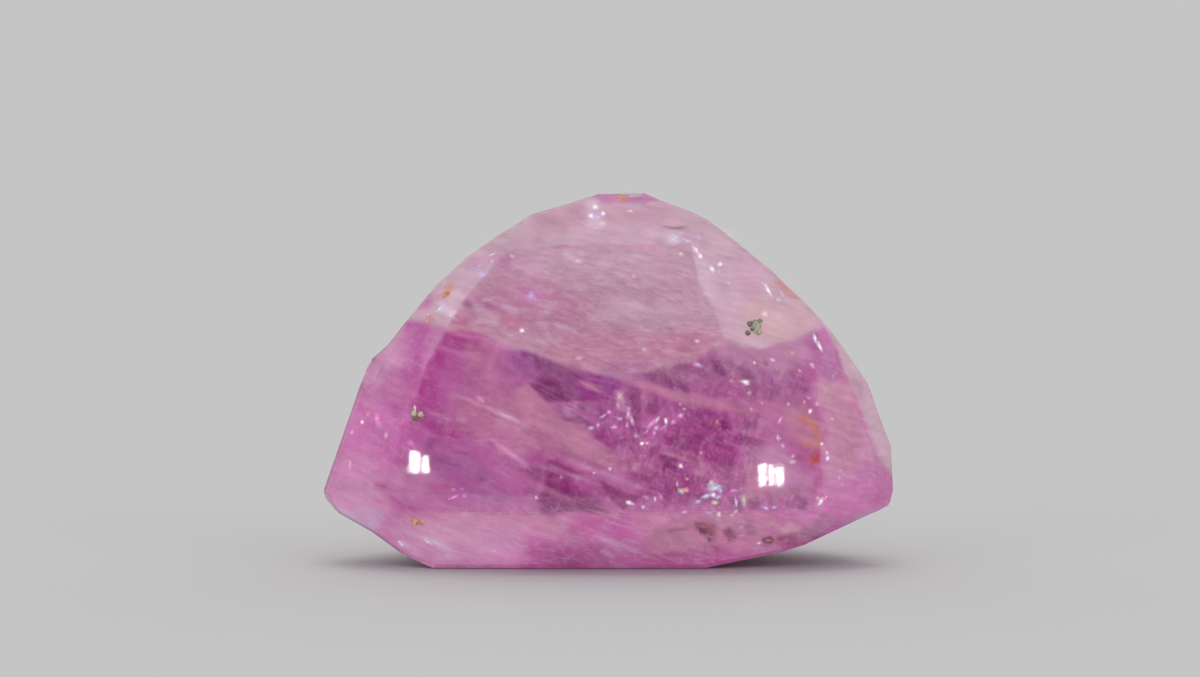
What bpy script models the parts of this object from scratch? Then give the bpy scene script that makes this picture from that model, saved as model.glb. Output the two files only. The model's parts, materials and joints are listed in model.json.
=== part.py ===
"""Rough pink sapphire, standing on its flat base.

One crystal, ground on the front and left natural behind: a gently domed window, a crown of bevels
round it, a chipped girdle, and a natural back of broad faces with growth ledges, etch pits and
shell-like breaks.
The front faces -Y and +Z is up. The origin is under the middle of the stone's box, on the surface
that it stands on. The sizes are in millimetres, and the mesh is in metres.
"""

import bpy
import numpy as np
from mathutils import Matrix, Vector

MM = 0.001

# Each corner of the stone, clockwise from the left tip as seen from the front, as
# (girdle x, girdle z, girdle y, window x, window z). The girdle is the widest outline, and the
# window is the domed face that the crown frames.
CORNERS = (
    (-8.99, 2.25, -1.30, -6.79, 2.47),
    (-7.63, 6.14, -1.20, -5.72, 6.34),
    (-7.41, 6.48, -1.15, -5.54, 6.65),
    (-6.94, 6.89, -1.10, -5.35, 7.02),
    (-6.43, 7.55, -1.10, -5.07, 7.52),
    (-5.42, 8.78, -1.05, -4.60, 8.32),
    (-4.98, 9.16, -1.05, -4.32, 8.69),
    (-4.41, 9.69, -1.00, -3.95, 9.09),
    (-3.40, 10.39, -1.00, -3.38, 9.74),
    (-2.39, 11.02, -0.95, -2.95, 10.02),
    (-1.39, 11.30, -0.95, -1.97, 10.09),
    (-0.32, 11.64, -0.90, -0.57, 10.09),
    (1.13, 11.68, -0.90, 1.00, 10.09),
    (1.63, 11.46, -0.95, 1.47, 10.09),
    (2.64, 11.09, -1.10, 2.25, 10.12),
    (3.20, 10.83, -1.40, 2.59, 10.11),
    (4.14, 10.10, -1.75, 2.87, 8.89),
    (5.14, 9.30, -1.95, 3.28, 8.25),
    (5.64, 8.80, -1.98, 3.62, 7.30),
    (6.15, 8.33, -1.95, 4.71, 6.91),
    (6.72, 7.72, -1.85, 6.38, 7.43),
    (7.23, 7.10, -1.65, 6.48, 6.81),
    (8.19, 5.68, -1.40, 6.56, 5.49),
    (8.57, 4.60, -1.30, 6.59, 4.71),
    (8.92, 3.70, -1.25, 6.62, 3.94),
    (8.99, 2.32, -1.35, 6.69, 2.54),
    (8.86, 1.81, -1.40, 6.56, 2.07),
    (8.19, 1.55, -1.60, 6.18, 1.93),
    (6.16, 0.66, -2.10, 5.05, 1.90),
    (5.50, 0.46, -2.20, 4.42, 1.91),
    (3.04, 0.00, -2.60, 2.55, 1.95),
    (-5.50, 0.00, -2.60, -4.93, 1.90),
    (-6.42, 0.35, -2.15, -5.72, 1.94),
    (-7.44, 1.03, -1.70, -6.35, 2.11),
    (-8.45, 1.57, -1.45, -6.63, 2.26),
    (-8.96, 2.00, -1.32, -6.76, 2.38),
)

# The window is part of a sphere that leans back: its foremost point is low on the stone
FRONT_Y = -4.2
DOME_RADIUS = 24.0
DOME_X = 0.0
DOME_Z = 1.0
WINDOW_MIDDLE = (0.5, 4.2)

# A narrow shoulder breaks the edge between crown and girdle, and is wide only on the right
SHOULDER_SHARE = 0.07
SHOULDER_SHARE_RIGHT = 0.24
SHOULDER_RIGHT_FROM_X = 7.0
SHOULDER_DROP = 0.28

# Behind the girdle the sides taper to a flat end, which the natural faces then cut away
SIDE_TAPER = 0.90
SIDE_END_Y = 4.6
MIDDLE = (0.0, 0.0, 5.2)

# Natural faces of the back, each as (a point on it, the way it faces, heights of its unevenness)
NATURAL_FACES = (
    ((-3.60, 2.60, 8.20), (-0.42, 0.72, 0.55), 0.07),
    ((3.60, 2.40, 8.00), (0.50, 0.66, 0.56), 0.06),
    ((7.00, 1.60, 4.00), (0.72, 0.69, 0.05), 0.06),
    ((-6.60, 1.70, 4.40), (-0.68, 0.73, 0.05), 0.07),
    ((0.00, 2.90, 1.20), (0.05, 0.80, -0.60), 0.06),
    ((5.50, 2.00, 1.40), (0.50, 0.72, -0.48), 0.05),
    ((-5.20, 2.20, 1.50), (-0.42, 0.70, -0.58), 0.06),
    ((0.20, 1.60, 11.00), (0.03, 0.62, 0.78), 0.05),
)
FACE_HALF_SIZE = 7.0
FACE_WAVES = ((0.10, 0.55), (0.23, 0.30), (0.47, 0.15))

# The rearmost face comes down in growth ledges: how far along the face each is, and its drop
LEDGED_FACE = ((0.80, 3.88, 4.80), (0.10, 0.985, 0.12))
LEDGE_TURN = np.radians(34.0)
LEDGES = ((-3.1, 0.30), (-1.7, 0.22), (-0.7, 0.16), (1.9, 0.20), (3.2, 0.34))
LEDGE_TOP = 0.4
LEDGE_WAVER = 0.30
LEDGE_SLOPE = 0.10

# Shell-like breaks, each as (x, y, z of the skin at its middle, radius of its curve, depth)
BREAKS = (
    (-7.60, -1.10, 6.35, 1.60, 0.10),
    (-5.62, -1.00, 8.62, 1.10, 0.08),
    (-3.42, -0.95, 10.42, 1.50, 0.08),
    (0.75, -0.85, 11.68, 0.90, 0.08),
    (7.45, -1.55, 6.92, 1.30, 0.07),
    (9.00, -0.60, 3.20, 1.30, 0.03),
    (8.75, -1.35, 1.70, 1.10, 0.06),
    (-9.00, -1.20, 2.20, 1.20, 0.05),
    (-5.30, 2.60, 6.60, 4.20, 0.55),
    (5.30, 2.50, 6.40, 3.40, 0.60),
    (2.90, 3.20, 2.30, 2.90, 0.50),
    (-1.70, 1.90, 10.30, 2.60, 0.40),
    (-7.40, 0.90, 2.50, 2.60, 0.35),
    (8.10, 0.50, 3.60, 2.80, 0.30),
    (-2.60, 3.30, 2.60, 2.20, 0.35),
)
RIPPLE_HEIGHT = 0.012
RIPPLE_LENGTH = 0.42
BREAK_UNEVENNESS = 0.10

# Three-sided etch pits on the rearmost face, as (x, z, y of the skin there, width, depth)
PITS = (
    (1.30, 5.30, 3.78, 0.90, 0.16),
    (0.10, 4.30, 3.96, 0.60, 0.12),
    (2.60, 6.40, 3.52, 0.50, 0.12),
    (-0.60, 5.90, 3.86, 0.55, 0.12),
)
PIT_TURN = np.radians(8.0)

# How finely the skin is divided: points per mm of girdle, rows between rings, cells per cutter
POINTS_PER_MM = 1.6
WINDOW_ROWS = 7
CROWN_ROWS = 3
SHOULDER_ROWS = 1
SIDE_ROWS = 4
END_ROWS = 3
FACE_CELLS = 16
BREAK_CELLS = 12

CRISP_EDGE = np.radians(14.0)
PINK = (0.38, 0.075, 0.22, 1.0)


def smooth_step(share):
    """0 below 0, 1 above 1, and an even S between them."""
    share = np.clip(share, 0.0, 1.0)
    return share * share * (3.0 - 2.0 * share)


def dome_y(x, z):
    """Depth of the domed window at x, z."""
    out = (x - DOME_X) ** 2 + (z - DOME_Z) ** 2
    return FRONT_Y + DOME_RADIUS - np.sqrt(DOME_RADIUS**2 - out)


def rings_of(corners):
    """The window's edge, the shoulder, the girdle, and the sides' far end."""
    girdle_x, girdle_z, girdle_y, window_x, window_z = corners.T
    window = np.stack([window_x, dome_y(window_x, window_z), window_z], axis=1)
    girdle = np.stack([girdle_x, girdle_y, girdle_z], axis=1)

    wide = SHOULDER_SHARE_RIGHT / SHOULDER_SHARE
    right = np.where(girdle_x > SHOULDER_RIGHT_FROM_X, wide, 1.0)[:, None]
    shoulder = girdle + SHOULDER_SHARE * right * (window - girdle)
    shoulder[:, 1] -= SHOULDER_DROP * right[:, 0] / wide

    middle_x, _, middle_z = MIDDLE
    end_x = middle_x + SIDE_TAPER * (girdle_x - middle_x)
    end_z = middle_z + SIDE_TAPER * (girdle_z - middle_z)
    end_z = np.where(girdle_z == 0.0, 0.0, end_z)
    end = np.stack([end_x, np.full_like(end_x, SIDE_END_Y), end_z], axis=1)
    return window, shoulder, girdle, end


def along(ring, counts):
    """The ring's points, with each straight edge divided into its count."""
    following = np.roll(ring, -1, axis=0)
    stretches = [
        start + np.linspace(0.0, 1.0, count, endpoint=False)[:, None] * (end - start)
        for start, end, count in zip(ring, following, counts)
    ]
    return np.concatenate(stretches)


def between(start, end, rows):
    """Rows from start up to, but not at, end."""
    shares = np.linspace(0.0, 1.0, rows, endpoint=False)
    return [start + share * (end - start) for share in shares]


def window_rows(edge):
    """The domed window, from its middle out to its edge: rows that grow, set on the dome."""
    middle = np.array([WINDOW_MIDDLE[0], 0.0, WINDOW_MIDDLE[1]])
    rows = []
    for share in np.arange(1, WINDOW_ROWS) / WINDOW_ROWS:
        row = middle + share * (edge - middle)
        row[:, 1] = dome_y(row[:, 0], row[:, 2])
        rows.append(row)
    middle[1] = dome_y(middle[0], middle[2])
    return middle, rows


def sapphire_rows():
    """The skin before it is cut: the front's middle, every row from there back, the back's middle."""
    rings = rings_of(np.array(CORNERS))
    girdle = rings[2]
    lengths = np.linalg.norm(np.roll(girdle, -1, axis=0) - girdle, axis=1)
    counts = np.maximum(1, np.round(lengths * POINTS_PER_MM)).astype(int)
    rings = [along(ring, counts) for ring in rings]
    rings[0][:, 1] = dome_y(rings[0][:, 0], rings[0][:, 2])

    front, rows = window_rows(rings[0])
    for start, end, count in zip(rings, rings[1:], (CROWN_ROWS, SHOULDER_ROWS, SIDE_ROWS)):
        rows += between(start, end, count)
    back = np.array([MIDDLE[0], SIDE_END_Y, MIDDLE[2]])
    rows += between(rings[-1], back, END_ROWS)
    return front, rows, back


def skin_faces(rows, across):
    """Four-sided faces between neighbouring rows, and a fan at each end."""
    last = rows * across + 1
    faces = []
    for i in range(across):
        j = (i + 1) % across
        faces.append((0, 1 + j, 1 + i))
        faces.append((last, last - across + i, last - across + j))
        for row in range(rows - 1):
            near, far = 1 + row * across, 1 + (row + 1) * across
            faces.append((near + i, near + j, far + j, far + i))
    return faces


def sapphire_material():
    """Milky pink crystal with a waxy polish."""
    material = bpy.data.materials.new("pink_sapphire")
    material.use_nodes = True
    shader = material.node_tree.nodes["Principled BSDF"]
    shader.inputs["Base Color"].default_value = PINK
    shader.inputs["Roughness"].default_value = 0.18
    shader.inputs["Metallic"].default_value = 0.0
    shader.inputs["IOR"].default_value = 1.77
    return material


def add_cutter(name, points, faces, place, cutters):
    """A hidden object that the stone is cut by. Its points are in millimetres."""
    mesh = bpy.data.meshes.new(name)
    mesh.from_pydata((np.asarray(points) * MM).tolist(), [], faces)
    cutter = bpy.data.objects.new(name, mesh)
    cutter.matrix_world = place
    cutter.hide_render = True
    cutter.display_type = "WIRE"
    cutters.objects.link(cutter)


def facing(point, direction):
    """Local Z along the direction, at a point in millimetres."""
    turn = Vector(direction).normalized().to_track_quat("Z", "Y").to_matrix().to_4x4()
    return Matrix.Translation(Vector(point) * MM) @ turn


def brick(u, v, height, thickness):
    """A closed block over a grid. Its underside is the height, and everything above it is removed."""
    across, along_it = u.shape
    near = np.stack([u, v, height], axis=-1).reshape(-1, 3)
    far = np.stack([u, v, np.full_like(height, thickness)], axis=-1).reshape(-1, 3)
    index = np.arange(across * along_it).reshape(across, along_it)
    cells = np.stack(
        [index[:-1, :-1], index[:-1, 1:], index[1:, 1:], index[1:, :-1]], axis=-1
    ).reshape(-1, 4)
    count = across * along_it
    rim = np.concatenate([index[0, :-1], index[:-1, -1], index[-1, :0:-1], index[:0:-1, 0]])
    ahead = np.roll(rim, -1)
    walls = np.stack([rim, rim + count, ahead + count, ahead], axis=-1)
    faces = np.concatenate([cells, cells[:, ::-1] + count, walls])
    return np.concatenate([near, far]), faces.tolist()


def unevenness(u, v, height, seed):
    """Slow waves in both directions, which differ from one seed to the next."""
    total = np.zeros_like(u)
    for rate, share in FACE_WAVES:
        turn = 1.7 * seed + 11.0 * rate
        run = u * np.cos(turn) + v * np.sin(turn)
        cross = v * np.cos(turn) - u * np.sin(turn)
        total += share * np.sin(2 * np.pi * rate * run + seed) * np.cos(5.3 * rate * cross + turn)
    return height * total


def square_grid(half_size, cells):
    """u and v over a square."""
    steps = np.linspace(-half_size, half_size, cells + 1)
    return np.meshgrid(steps, steps, indexing="ij")


def add_natural_face(index, cutters):
    """Cuts one of the broad, slightly uneven faces of the back."""
    point, direction, height = NATURAL_FACES[index]
    u, v = square_grid(FACE_HALF_SIZE, FACE_CELLS)
    points, faces = brick(u, v, unevenness(u, v, height, index + 1.0), FACE_HALF_SIZE)
    add_cutter(f"natural_face_{index + 1}", points, faces, facing(point, direction), cutters)


def add_ledged_face(cutters):
    """Cuts the rearmost face: treads that lean a little, with steep wavering risers between."""
    edges = [-FACE_HALF_SIZE]
    heights = [LEDGE_TOP - sum(drop for at, drop in LEDGES if at < 0.0)]
    for at, drop in LEDGES:
        edges += [at - 0.04, at + 0.04]
        level = heights[-1]
        heights += [level, level + drop if at < 0.0 else level - drop]
    edges.append(FACE_HALF_SIZE)
    heights.append(heights[-1])
    steps = np.unique(np.concatenate([np.linspace(-FACE_HALF_SIZE, FACE_HALF_SIZE, FACE_CELLS), edges]))
    side = np.linspace(-FACE_HALF_SIZE, FACE_HALF_SIZE, FACE_CELLS + 1)
    u, v = np.meshgrid(steps, side, indexing="ij")
    height = np.interp(u, edges, heights) - LEDGE_TOP + LEDGE_SLOPE * np.abs(u - 0.6) * 0.2
    height += unevenness(u, v, 0.03, 9.0)
    wavering = u + LEDGE_WAVER * np.sin(0.9 * v + 0.7) + 0.4 * LEDGE_WAVER * np.sin(2.3 * v)
    points, faces = brick(wavering, v, height, FACE_HALF_SIZE)
    point, direction = LEDGED_FACE
    place = facing(point, direction) @ Matrix.Rotation(LEDGE_TURN, 4, "Z")
    add_cutter("ledged_face", points, faces, place, cutters)


def outward(point):
    """The direction away from the stone's middle, as on the egg that it roughly fills."""
    half_sizes = np.array([9.0, 3.6, 6.0])
    return (np.array(point) - MIDDLE) / half_sizes**2


def add_break(index, cutters):
    """Cuts a shallow shell-like hollow with faint ripples round the point that it broke from."""
    *skin, radius, depth = BREAKS[index]
    reach = 1.5 * np.sqrt(2.0 * radius * depth)
    u, v = square_grid(reach, BREAK_CELLS)
    struck = np.hypot(u - 0.7 * reach, v - 0.2 * reach)
    bowl = (u**2 + 0.8 * v**2 + 0.2 * u * v) / (2.0 * radius) - depth
    ripple = RIPPLE_HEIGHT * np.sin(2 * np.pi * struck / RIPPLE_LENGTH)
    height = bowl + ripple + BREAK_UNEVENNESS * depth * np.sin(2.1 * u / reach * np.pi + index)
    points, faces = brick(u, v, height, max(2.0 * reach, 1.0))
    add_cutter(f"break_{index + 1}", points, faces, facing(skin, outward(skin)), cutters)


def add_pit(index, cutters):
    """Cuts a three-sided point that sinks into the back."""
    x, z, y, width, depth = PITS[index]
    reach = depth + 0.6
    radius = width / 2 * reach / depth
    turns = PIT_TURN + np.radians([90.0, 210.0, 330.0])
    rim = np.stack([radius * np.cos(turns), radius * np.sin(turns), np.full(3, reach)], axis=1)
    points = np.concatenate([rim, np.zeros((1, 3))])
    faces = [(0, 1, 2), (1, 0, 3), (2, 1, 3), (0, 2, 3)]
    add_cutter(f"pit_{index + 1}", points, faces, facing((x, y - depth, z), (0, 1, 0)), cutters)


def make_sapphire(collection, cutters):
    """The stone: one closed body with everything cut from it, crisp along its edges."""
    front, rows, back = sapphire_rows()
    points = np.concatenate([front[None], *rows, back[None]])
    mesh = bpy.data.meshes.new("sapphire")
    mesh.from_pydata((points * MM).tolist(), [], skin_faces(len(rows), len(rows[0])))
    mesh.update()
    mesh.shade_smooth()
    mesh.set_sharp_from_angle(angle=CRISP_EDGE)
    mesh.materials.append(sapphire_material())
    stone = bpy.data.objects.new("sapphire", mesh)
    collection.objects.link(stone)
    cut = stone.modifiers.new("natural_back", "BOOLEAN")
    cut.operation = "DIFFERENCE"
    cut.operand_type = "COLLECTION"
    cut.collection = cutters
    cut.solver = "EXACT"
    return stone


def main():
    for old in list(bpy.data.objects):
        bpy.data.objects.remove(old)
    collection = bpy.data.collections.new("rough_pink_sapphire")
    cutters = bpy.data.collections.new("cutters")
    bpy.context.scene.collection.children.link(collection)
    bpy.context.scene.collection.children.link(cutters)
    for index in range(len(NATURAL_FACES)):
        add_natural_face(index, cutters)
    add_ledged_face(cutters)
    for index in range(len(BREAKS)):
        add_break(index, cutters)
    for index in range(len(PITS)):
        add_pit(index, cutters)
    make_sapphire(collection, cutters)


main()
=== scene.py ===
"""Looks of the rough pink sapphire: a polished front over milky, veined and clear magenta zones.

The stone's outer shell repeats the named values of the solid at a finer division. Everything else is
in or on it: growth veils and silk under the polish, painted glints as glowing flakes, mineral grains and
stains.
Sizes are in millimetres until a mesh is made. Places on the front are read in picture steps, across
and down from the upper left corner of the front view, which shows about 31.6 steps to a millimetre.
"""

import json
import logging
import math
from collections.abc import Sequence
from dataclasses import dataclass, field
from enum import Enum
from functools import reduce

import bpy
import numpy as np
from mathutils import Matrix, Vector
from mathutils.bvhtree import BVHTree

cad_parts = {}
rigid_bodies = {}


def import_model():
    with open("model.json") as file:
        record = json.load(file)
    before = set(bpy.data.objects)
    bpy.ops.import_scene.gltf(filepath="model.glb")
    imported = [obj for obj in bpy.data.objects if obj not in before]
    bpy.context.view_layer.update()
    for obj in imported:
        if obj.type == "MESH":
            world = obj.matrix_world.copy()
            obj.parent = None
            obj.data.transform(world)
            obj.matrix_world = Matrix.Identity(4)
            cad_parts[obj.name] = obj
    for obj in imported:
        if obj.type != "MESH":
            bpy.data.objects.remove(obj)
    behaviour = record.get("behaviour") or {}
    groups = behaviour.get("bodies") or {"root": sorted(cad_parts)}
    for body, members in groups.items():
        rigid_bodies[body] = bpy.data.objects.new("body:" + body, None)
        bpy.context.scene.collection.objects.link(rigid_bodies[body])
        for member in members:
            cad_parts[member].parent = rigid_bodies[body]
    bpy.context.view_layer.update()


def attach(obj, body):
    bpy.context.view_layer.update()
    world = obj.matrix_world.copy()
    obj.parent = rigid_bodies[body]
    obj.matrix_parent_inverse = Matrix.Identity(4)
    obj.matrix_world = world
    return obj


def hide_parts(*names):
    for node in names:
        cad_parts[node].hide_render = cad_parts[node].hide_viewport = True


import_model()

LOG = logging.getLogger("sapphire")
MM = 0.001
BODY = "root"

Array = np.ndarray
Colour = tuple[float, float, float]
Step = tuple[float, float]


# Small helpers


def smooth_step(share: Array) -> Array:
    """0 below 0, 1 above 1, and an even S between them."""
    share = np.clip(share, 0.0, 1.0)
    return share * share * (3.0 - 2.0 * share)


def screen_colour(red: float, green: float, blue: float) -> Colour:
    """A colour as a screen shows it, from 0 to 255, turned into linear light."""
    parts = [value / 255.0 for value in (red, green, blue)]
    return tuple(p / 12.92 if p < 0.04045 else ((p + 0.055) / 1.055) ** 2.4 for p in parts)


def lattice_noise(x: Array, y: Array, cell: float, seed: int) -> Array:
    """Random values on the corners of square cells, eased from corner to corner.

    Args:
        x, y: where the noise is read.
        cell: the side of a cell, in the same unit.
        seed: another seed gives another noise.

    Returns:
        Noise from -1 to 1 at each point.
    """
    table = np.random.default_rng(seed).uniform(-1.0, 1.0, (128, 128))
    u = np.asarray(x) / cell + 640.0
    v = np.asarray(y) / cell + 640.0
    i = np.floor(u).astype(int)
    j = np.floor(v).astype(int)
    s = smooth_step(u - i)
    t = smooth_step(v - j)
    i0, i1, j0, j1 = i % 128, (i + 1) % 128, j % 128, (j + 1) % 128
    near = table[i0, j0] * (1.0 - s) + table[i1, j0] * s
    far = table[i0, j1] * (1.0 - s) + table[i1, j1] * s
    return near * (1.0 - t) + far * t


def edge_distance(x: Array, y: Array, corners: Array) -> tuple[Array, Array, Array]:
    """How far each point is from a closed outline: the least distance to any of its sides.

    Args:
        x, y: the points.
        corners: the outline's corners, one row each.

    Returns:
        The distance, negative inside; the nearest side's number; the share along that side.
    """
    best = np.full(x.shape, np.inf)
    side = np.zeros(x.shape, int)
    share = np.zeros(x.shape)
    inside = np.zeros(x.shape, bool)
    ends = np.roll(corners, -1, axis=0)
    for number, ((x0, y0), (x1, y1)) in enumerate(zip(corners, ends)):
        run_x, run_y = x1 - x0, y1 - y0
        length = run_x**2 + run_y**2
        at = np.clip(((x - x0) * run_x + (y - y0) * run_y) / length, 0.0, 1.0)
        gap = np.hypot(x - x0 - at * run_x, y - y0 - at * run_y)
        nearer = gap < best
        best = np.where(nearer, gap, best)
        side = np.where(nearer, number, side)
        share = np.where(nearer, at, share)
        if y0 != y1:
            crosses = ((y0 > y) != (y1 > y)) & (x < x0 + (y - y0) * run_x / run_y)
            inside ^= crosses
    return np.where(inside, -best, best), side, share


def new_object(name: str, points: Array, faces: Sequence) -> bpy.types.Object:
    """A mesh object at the origin, from points in millimetres.

    Args:
        name: the object's name.
        points: one row of x, y, z for each point.
        faces: the corner numbers of each face.

    Returns:
        The object, smooth and in the scene.
    """
    mesh = bpy.data.meshes.new(name)
    mesh.from_pydata((np.asarray(points) * MM).tolist(), [], [tuple(face) for face in faces])
    mesh.update()
    mesh.shade_smooth()
    piece = bpy.data.objects.new(name, mesh)
    bpy.context.scene.collection.objects.link(piece)
    return piece


def paint(mesh: bpy.types.Mesh, name: str, values: Array) -> None:
    """Stores four numbers for each point of a mesh, for its material to read."""
    layer = mesh.attributes.new(name, "FLOAT_COLOR", "POINT")
    layer.data.foreach_set("color", np.asarray(values, np.float32).ravel())


def grid_cells(shape: tuple[int, int]) -> Array:
    """The corner numbers of each cell of a grid whose points are numbered row by row."""
    index = np.arange(shape[0] * shape[1]).reshape(shape)
    cells = np.stack([index[:-1, :-1], index[:-1, 1:], index[1:, 1:], index[1:, :-1]], axis=-1)
    return cells.reshape(-1, 4)


def level_way(normal: Array) -> Array:
    """The way to the right along a skin that faces the normal."""
    right = np.cross(normal, np.cross([1.0, 0.0, 0.0], normal))
    return right / np.linalg.norm(right)


def keep(piece: bpy.types.Object) -> bpy.types.Object:
    """Makes a piece ride on the stone's body, and reports its faces.

    Args:
        piece: the piece, in place.

    Returns:
        The same piece.
    """
    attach(piece, BODY)
    LOG.info("%s: %d faces", piece.name, len(piece.data.polygons))
    return piece


# The front view


@dataclass(frozen=True)
class FrontView:
    """The camera that the stone is seen from in front, and the picture that it takes.

    It looks along +Y and a little down, from far away through a long lens.
    """

    lens: float = 200.0
    sensor: float = 36.0
    elevation: float = 5.5
    distance: float = 211.2
    target: tuple[float, float, float] = (-0.2535, 0.0, 6.988)
    width: int = 1200
    height: int = 677

    @property
    def zoom(self) -> float:
        """Picture steps for each unit of slope."""
        return self.lens / self.sensor * self.width

    def axes(self) -> tuple[Array, Array, Array, Array]:
        """The camera's place in millimetres, and its directions right, up and forward."""
        angle = math.radians(self.elevation)
        forward = np.array([0.0, math.cos(angle), -math.sin(angle)])
        up = np.array([0.0, math.sin(angle), math.cos(angle)])
        return np.array(self.target) - self.distance * forward, np.array([1.0, 0.0, 0.0]), up, forward

    def see(self, points: Array) -> tuple[Array, Array]:
        """Where points show in the picture: the slope of the line of sight, times the zoom.

        Args:
            points: rows of x, y, z in millimetres.

        Returns:
            Picture steps across and down.
        """
        eye, right, up, forward = self.axes()
        away = points - eye
        depth = away @ forward
        across = self.width / 2 + self.zoom * (away @ right) / depth
        down = self.height / 2 - self.zoom * (away @ up) / depth
        return across, down

    def sight(self, across: float, down: float) -> tuple[Vector, Vector]:
        """The line of sight through a place in the picture.

        Args:
            across, down: the place, in picture steps.

        Returns:
            Where the line starts, in metres, and its direction.
        """
        eye, right, up, forward = self.axes()
        slope = (across - self.width / 2) / self.zoom * right
        slope = slope - (down - self.height / 2) / self.zoom * up
        return Vector(eye * MM), Vector(forward + slope).normalized()

    @property
    def steps_per_mm(self) -> float:
        """How many picture steps a millimetre shows as, at the front of the stone."""
        return self.zoom / self.distance

    def onto(self, skin: BVHTree, across: float, down: float) -> tuple[Array, Array]:
        """The place on a skin that shows at a place in the picture.

        Args:
            skin: the skin, in metres.
            across, down: the place, in picture steps.

        Returns:
            The place in millimetres, and the way that the skin faces there.
        """
        start, direction = self.sight(across, down)
        spot, normal, _, _ = skin.ray_cast(start, direction)
        if spot is None:
            raise ValueError(f"nothing of the stone shows at {across}, {down}")
        return np.array(spot) / MM, np.array(normal)

    def build(self) -> bpy.types.Object:
        """Makes the scene's camera.

        Returns:
            The camera.
        """
        data = bpy.data.cameras.new("front_view")
        data.lens = self.lens
        data.sensor_width = self.sensor
        data.clip_start = 0.001
        data.clip_end = 10.0
        camera = bpy.data.objects.new("front_view", data)
        eye, _, _, forward = self.axes()
        camera.location = eye * MM
        camera.rotation_euler = Vector(forward).to_track_quat("-Z", "Y").to_euler()
        bpy.context.scene.collection.objects.link(camera)
        bpy.context.scene.camera = camera
        return camera


VIEW = FrontView()


# Nodes


SMOOTH = {"interpolation_type": "SMOOTHSTEP"}


@dataclass
class Wiring:
    """Adds nodes to one tree and joins them."""

    tree: bpy.types.NodeTree

    def add(self, kind: str, settings: dict | None = None, **values: object) -> bpy.types.Node:
        """Adds a node, sets it and joins its inputs.

        Args:
            kind: the node's type.
            settings: its properties.
            values: numbers, colours or sockets for its inputs, by name with _ for a space.

        Returns:
            The node.
        """
        node = self.tree.nodes.new(kind)
        for name, value in (settings or {}).items():
            setattr(node, name, value)
        for name, value in values.items():
            self.feed(node.inputs[name.replace("_", " ")], value)
        return node

    def feed(self, socket: bpy.types.NodeSocket, value: object) -> None:
        """Joins another socket to this one, or sets its own value."""
        if isinstance(value, bpy.types.NodeSocket):
            self.tree.links.new(value, socket)
        else:
            socket.default_value = value

    def sum(self, kind: str, first: object, second: object = 0.0) -> bpy.types.NodeSocket:
        """A Math node: kind of first and second.

        Args:
            kind: the operation.
            first, second: numbers or sockets.

        Returns:
            The result's socket.
        """
        node = self.tree.nodes.new("ShaderNodeMath")
        node.operation = kind
        self.feed(node.inputs[0], first)
        self.feed(node.inputs[1], second)
        return node.outputs[0]

    def blend(self, share: object, first: object, second: object) -> bpy.types.NodeSocket:
        """A colour that goes from first to second with the share.

        Args:
            share: a number or socket, from 0 to 1.
            first, second: colours or sockets.

        Returns:
            The colour's socket.
        """
        node = self.tree.nodes.new("ShaderNodeMix")
        node.data_type = "RGBA"
        for socket, value in zip((node.inputs[0], node.inputs[6], node.inputs[7]), (share, first, second)):
            self.feed(socket, (*value, 1.0) if isinstance(value, tuple) and len(value) == 3 else value)
        return node.outputs[2]

    def spread(self, value: object, low: float, high: float, to_low: float, to_high: float):
        """Stretches a value from one range to another, held at its ends.

        Args:
            value: a socket.
            low, high: the range it comes in.
            to_low, to_high: the range it leaves in.

        Returns:
            The result's socket.
        """
        ranges = {"From_Min": low, "From_Max": high, "To_Min": to_low, "To_Max": to_high}
        return self.add("ShaderNodeMapRange", SMOOTH, Value=value, **ranges).outputs[0]

    def times(self, *factors: object) -> bpy.types.NodeSocket:
        """The product of two or more numbers and sockets, in their order."""
        return reduce(lambda total, factor: self.sum("MULTIPLY", total, factor), factors)

    def place(self) -> bpy.types.NodeSocket:
        """The place on the stone."""
        return self.add("ShaderNodeTexCoord").outputs["Object"]

    def painted(self, name: str) -> bpy.types.Node:
        """A node that reads what is painted on the mesh under a name."""
        return self.add("ShaderNodeAttribute", {"attribute_name": name})

    def channels(self, name: str) -> Sequence[bpy.types.NodeSocket]:
        """The first three of the numbers that are painted on the mesh under a name."""
        return self.add("ShaderNodeSeparateColor", Color=self.painted(name).outputs["Color"]).outputs

    def group(self, name: str, **values: object) -> bpy.types.NodeSocket:
        """Places a shared group.

        Args:
            name: the group's name.
            values: its inputs.

        Returns:
            The group's only output.
        """
        node = self.add("ShaderNodeGroup", {"node_tree": GROUPS[name]})
        for label, value in values.items():
            self.feed(node.inputs[label], value)
        return node.outputs[0]

    def silk(self, place: object, lean: float, stretch: tuple, low: float, high: float) -> object:
        """Threads that lean by so many degrees, drawn out by the stretch and cut from low to high."""
        turn = (0.0, math.radians(lean), 0.0)
        return self.group("silk", Vector=place, Turn=turn, Stretch=stretch, From=low, To=high)

    def mottle(self, place: object, scale: float, low: float, high: float) -> object:
        """Clouds of one size, cut from low to high."""
        return self.group("mottle", Vector=place, Scale=scale, From=low, To=high)


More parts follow.
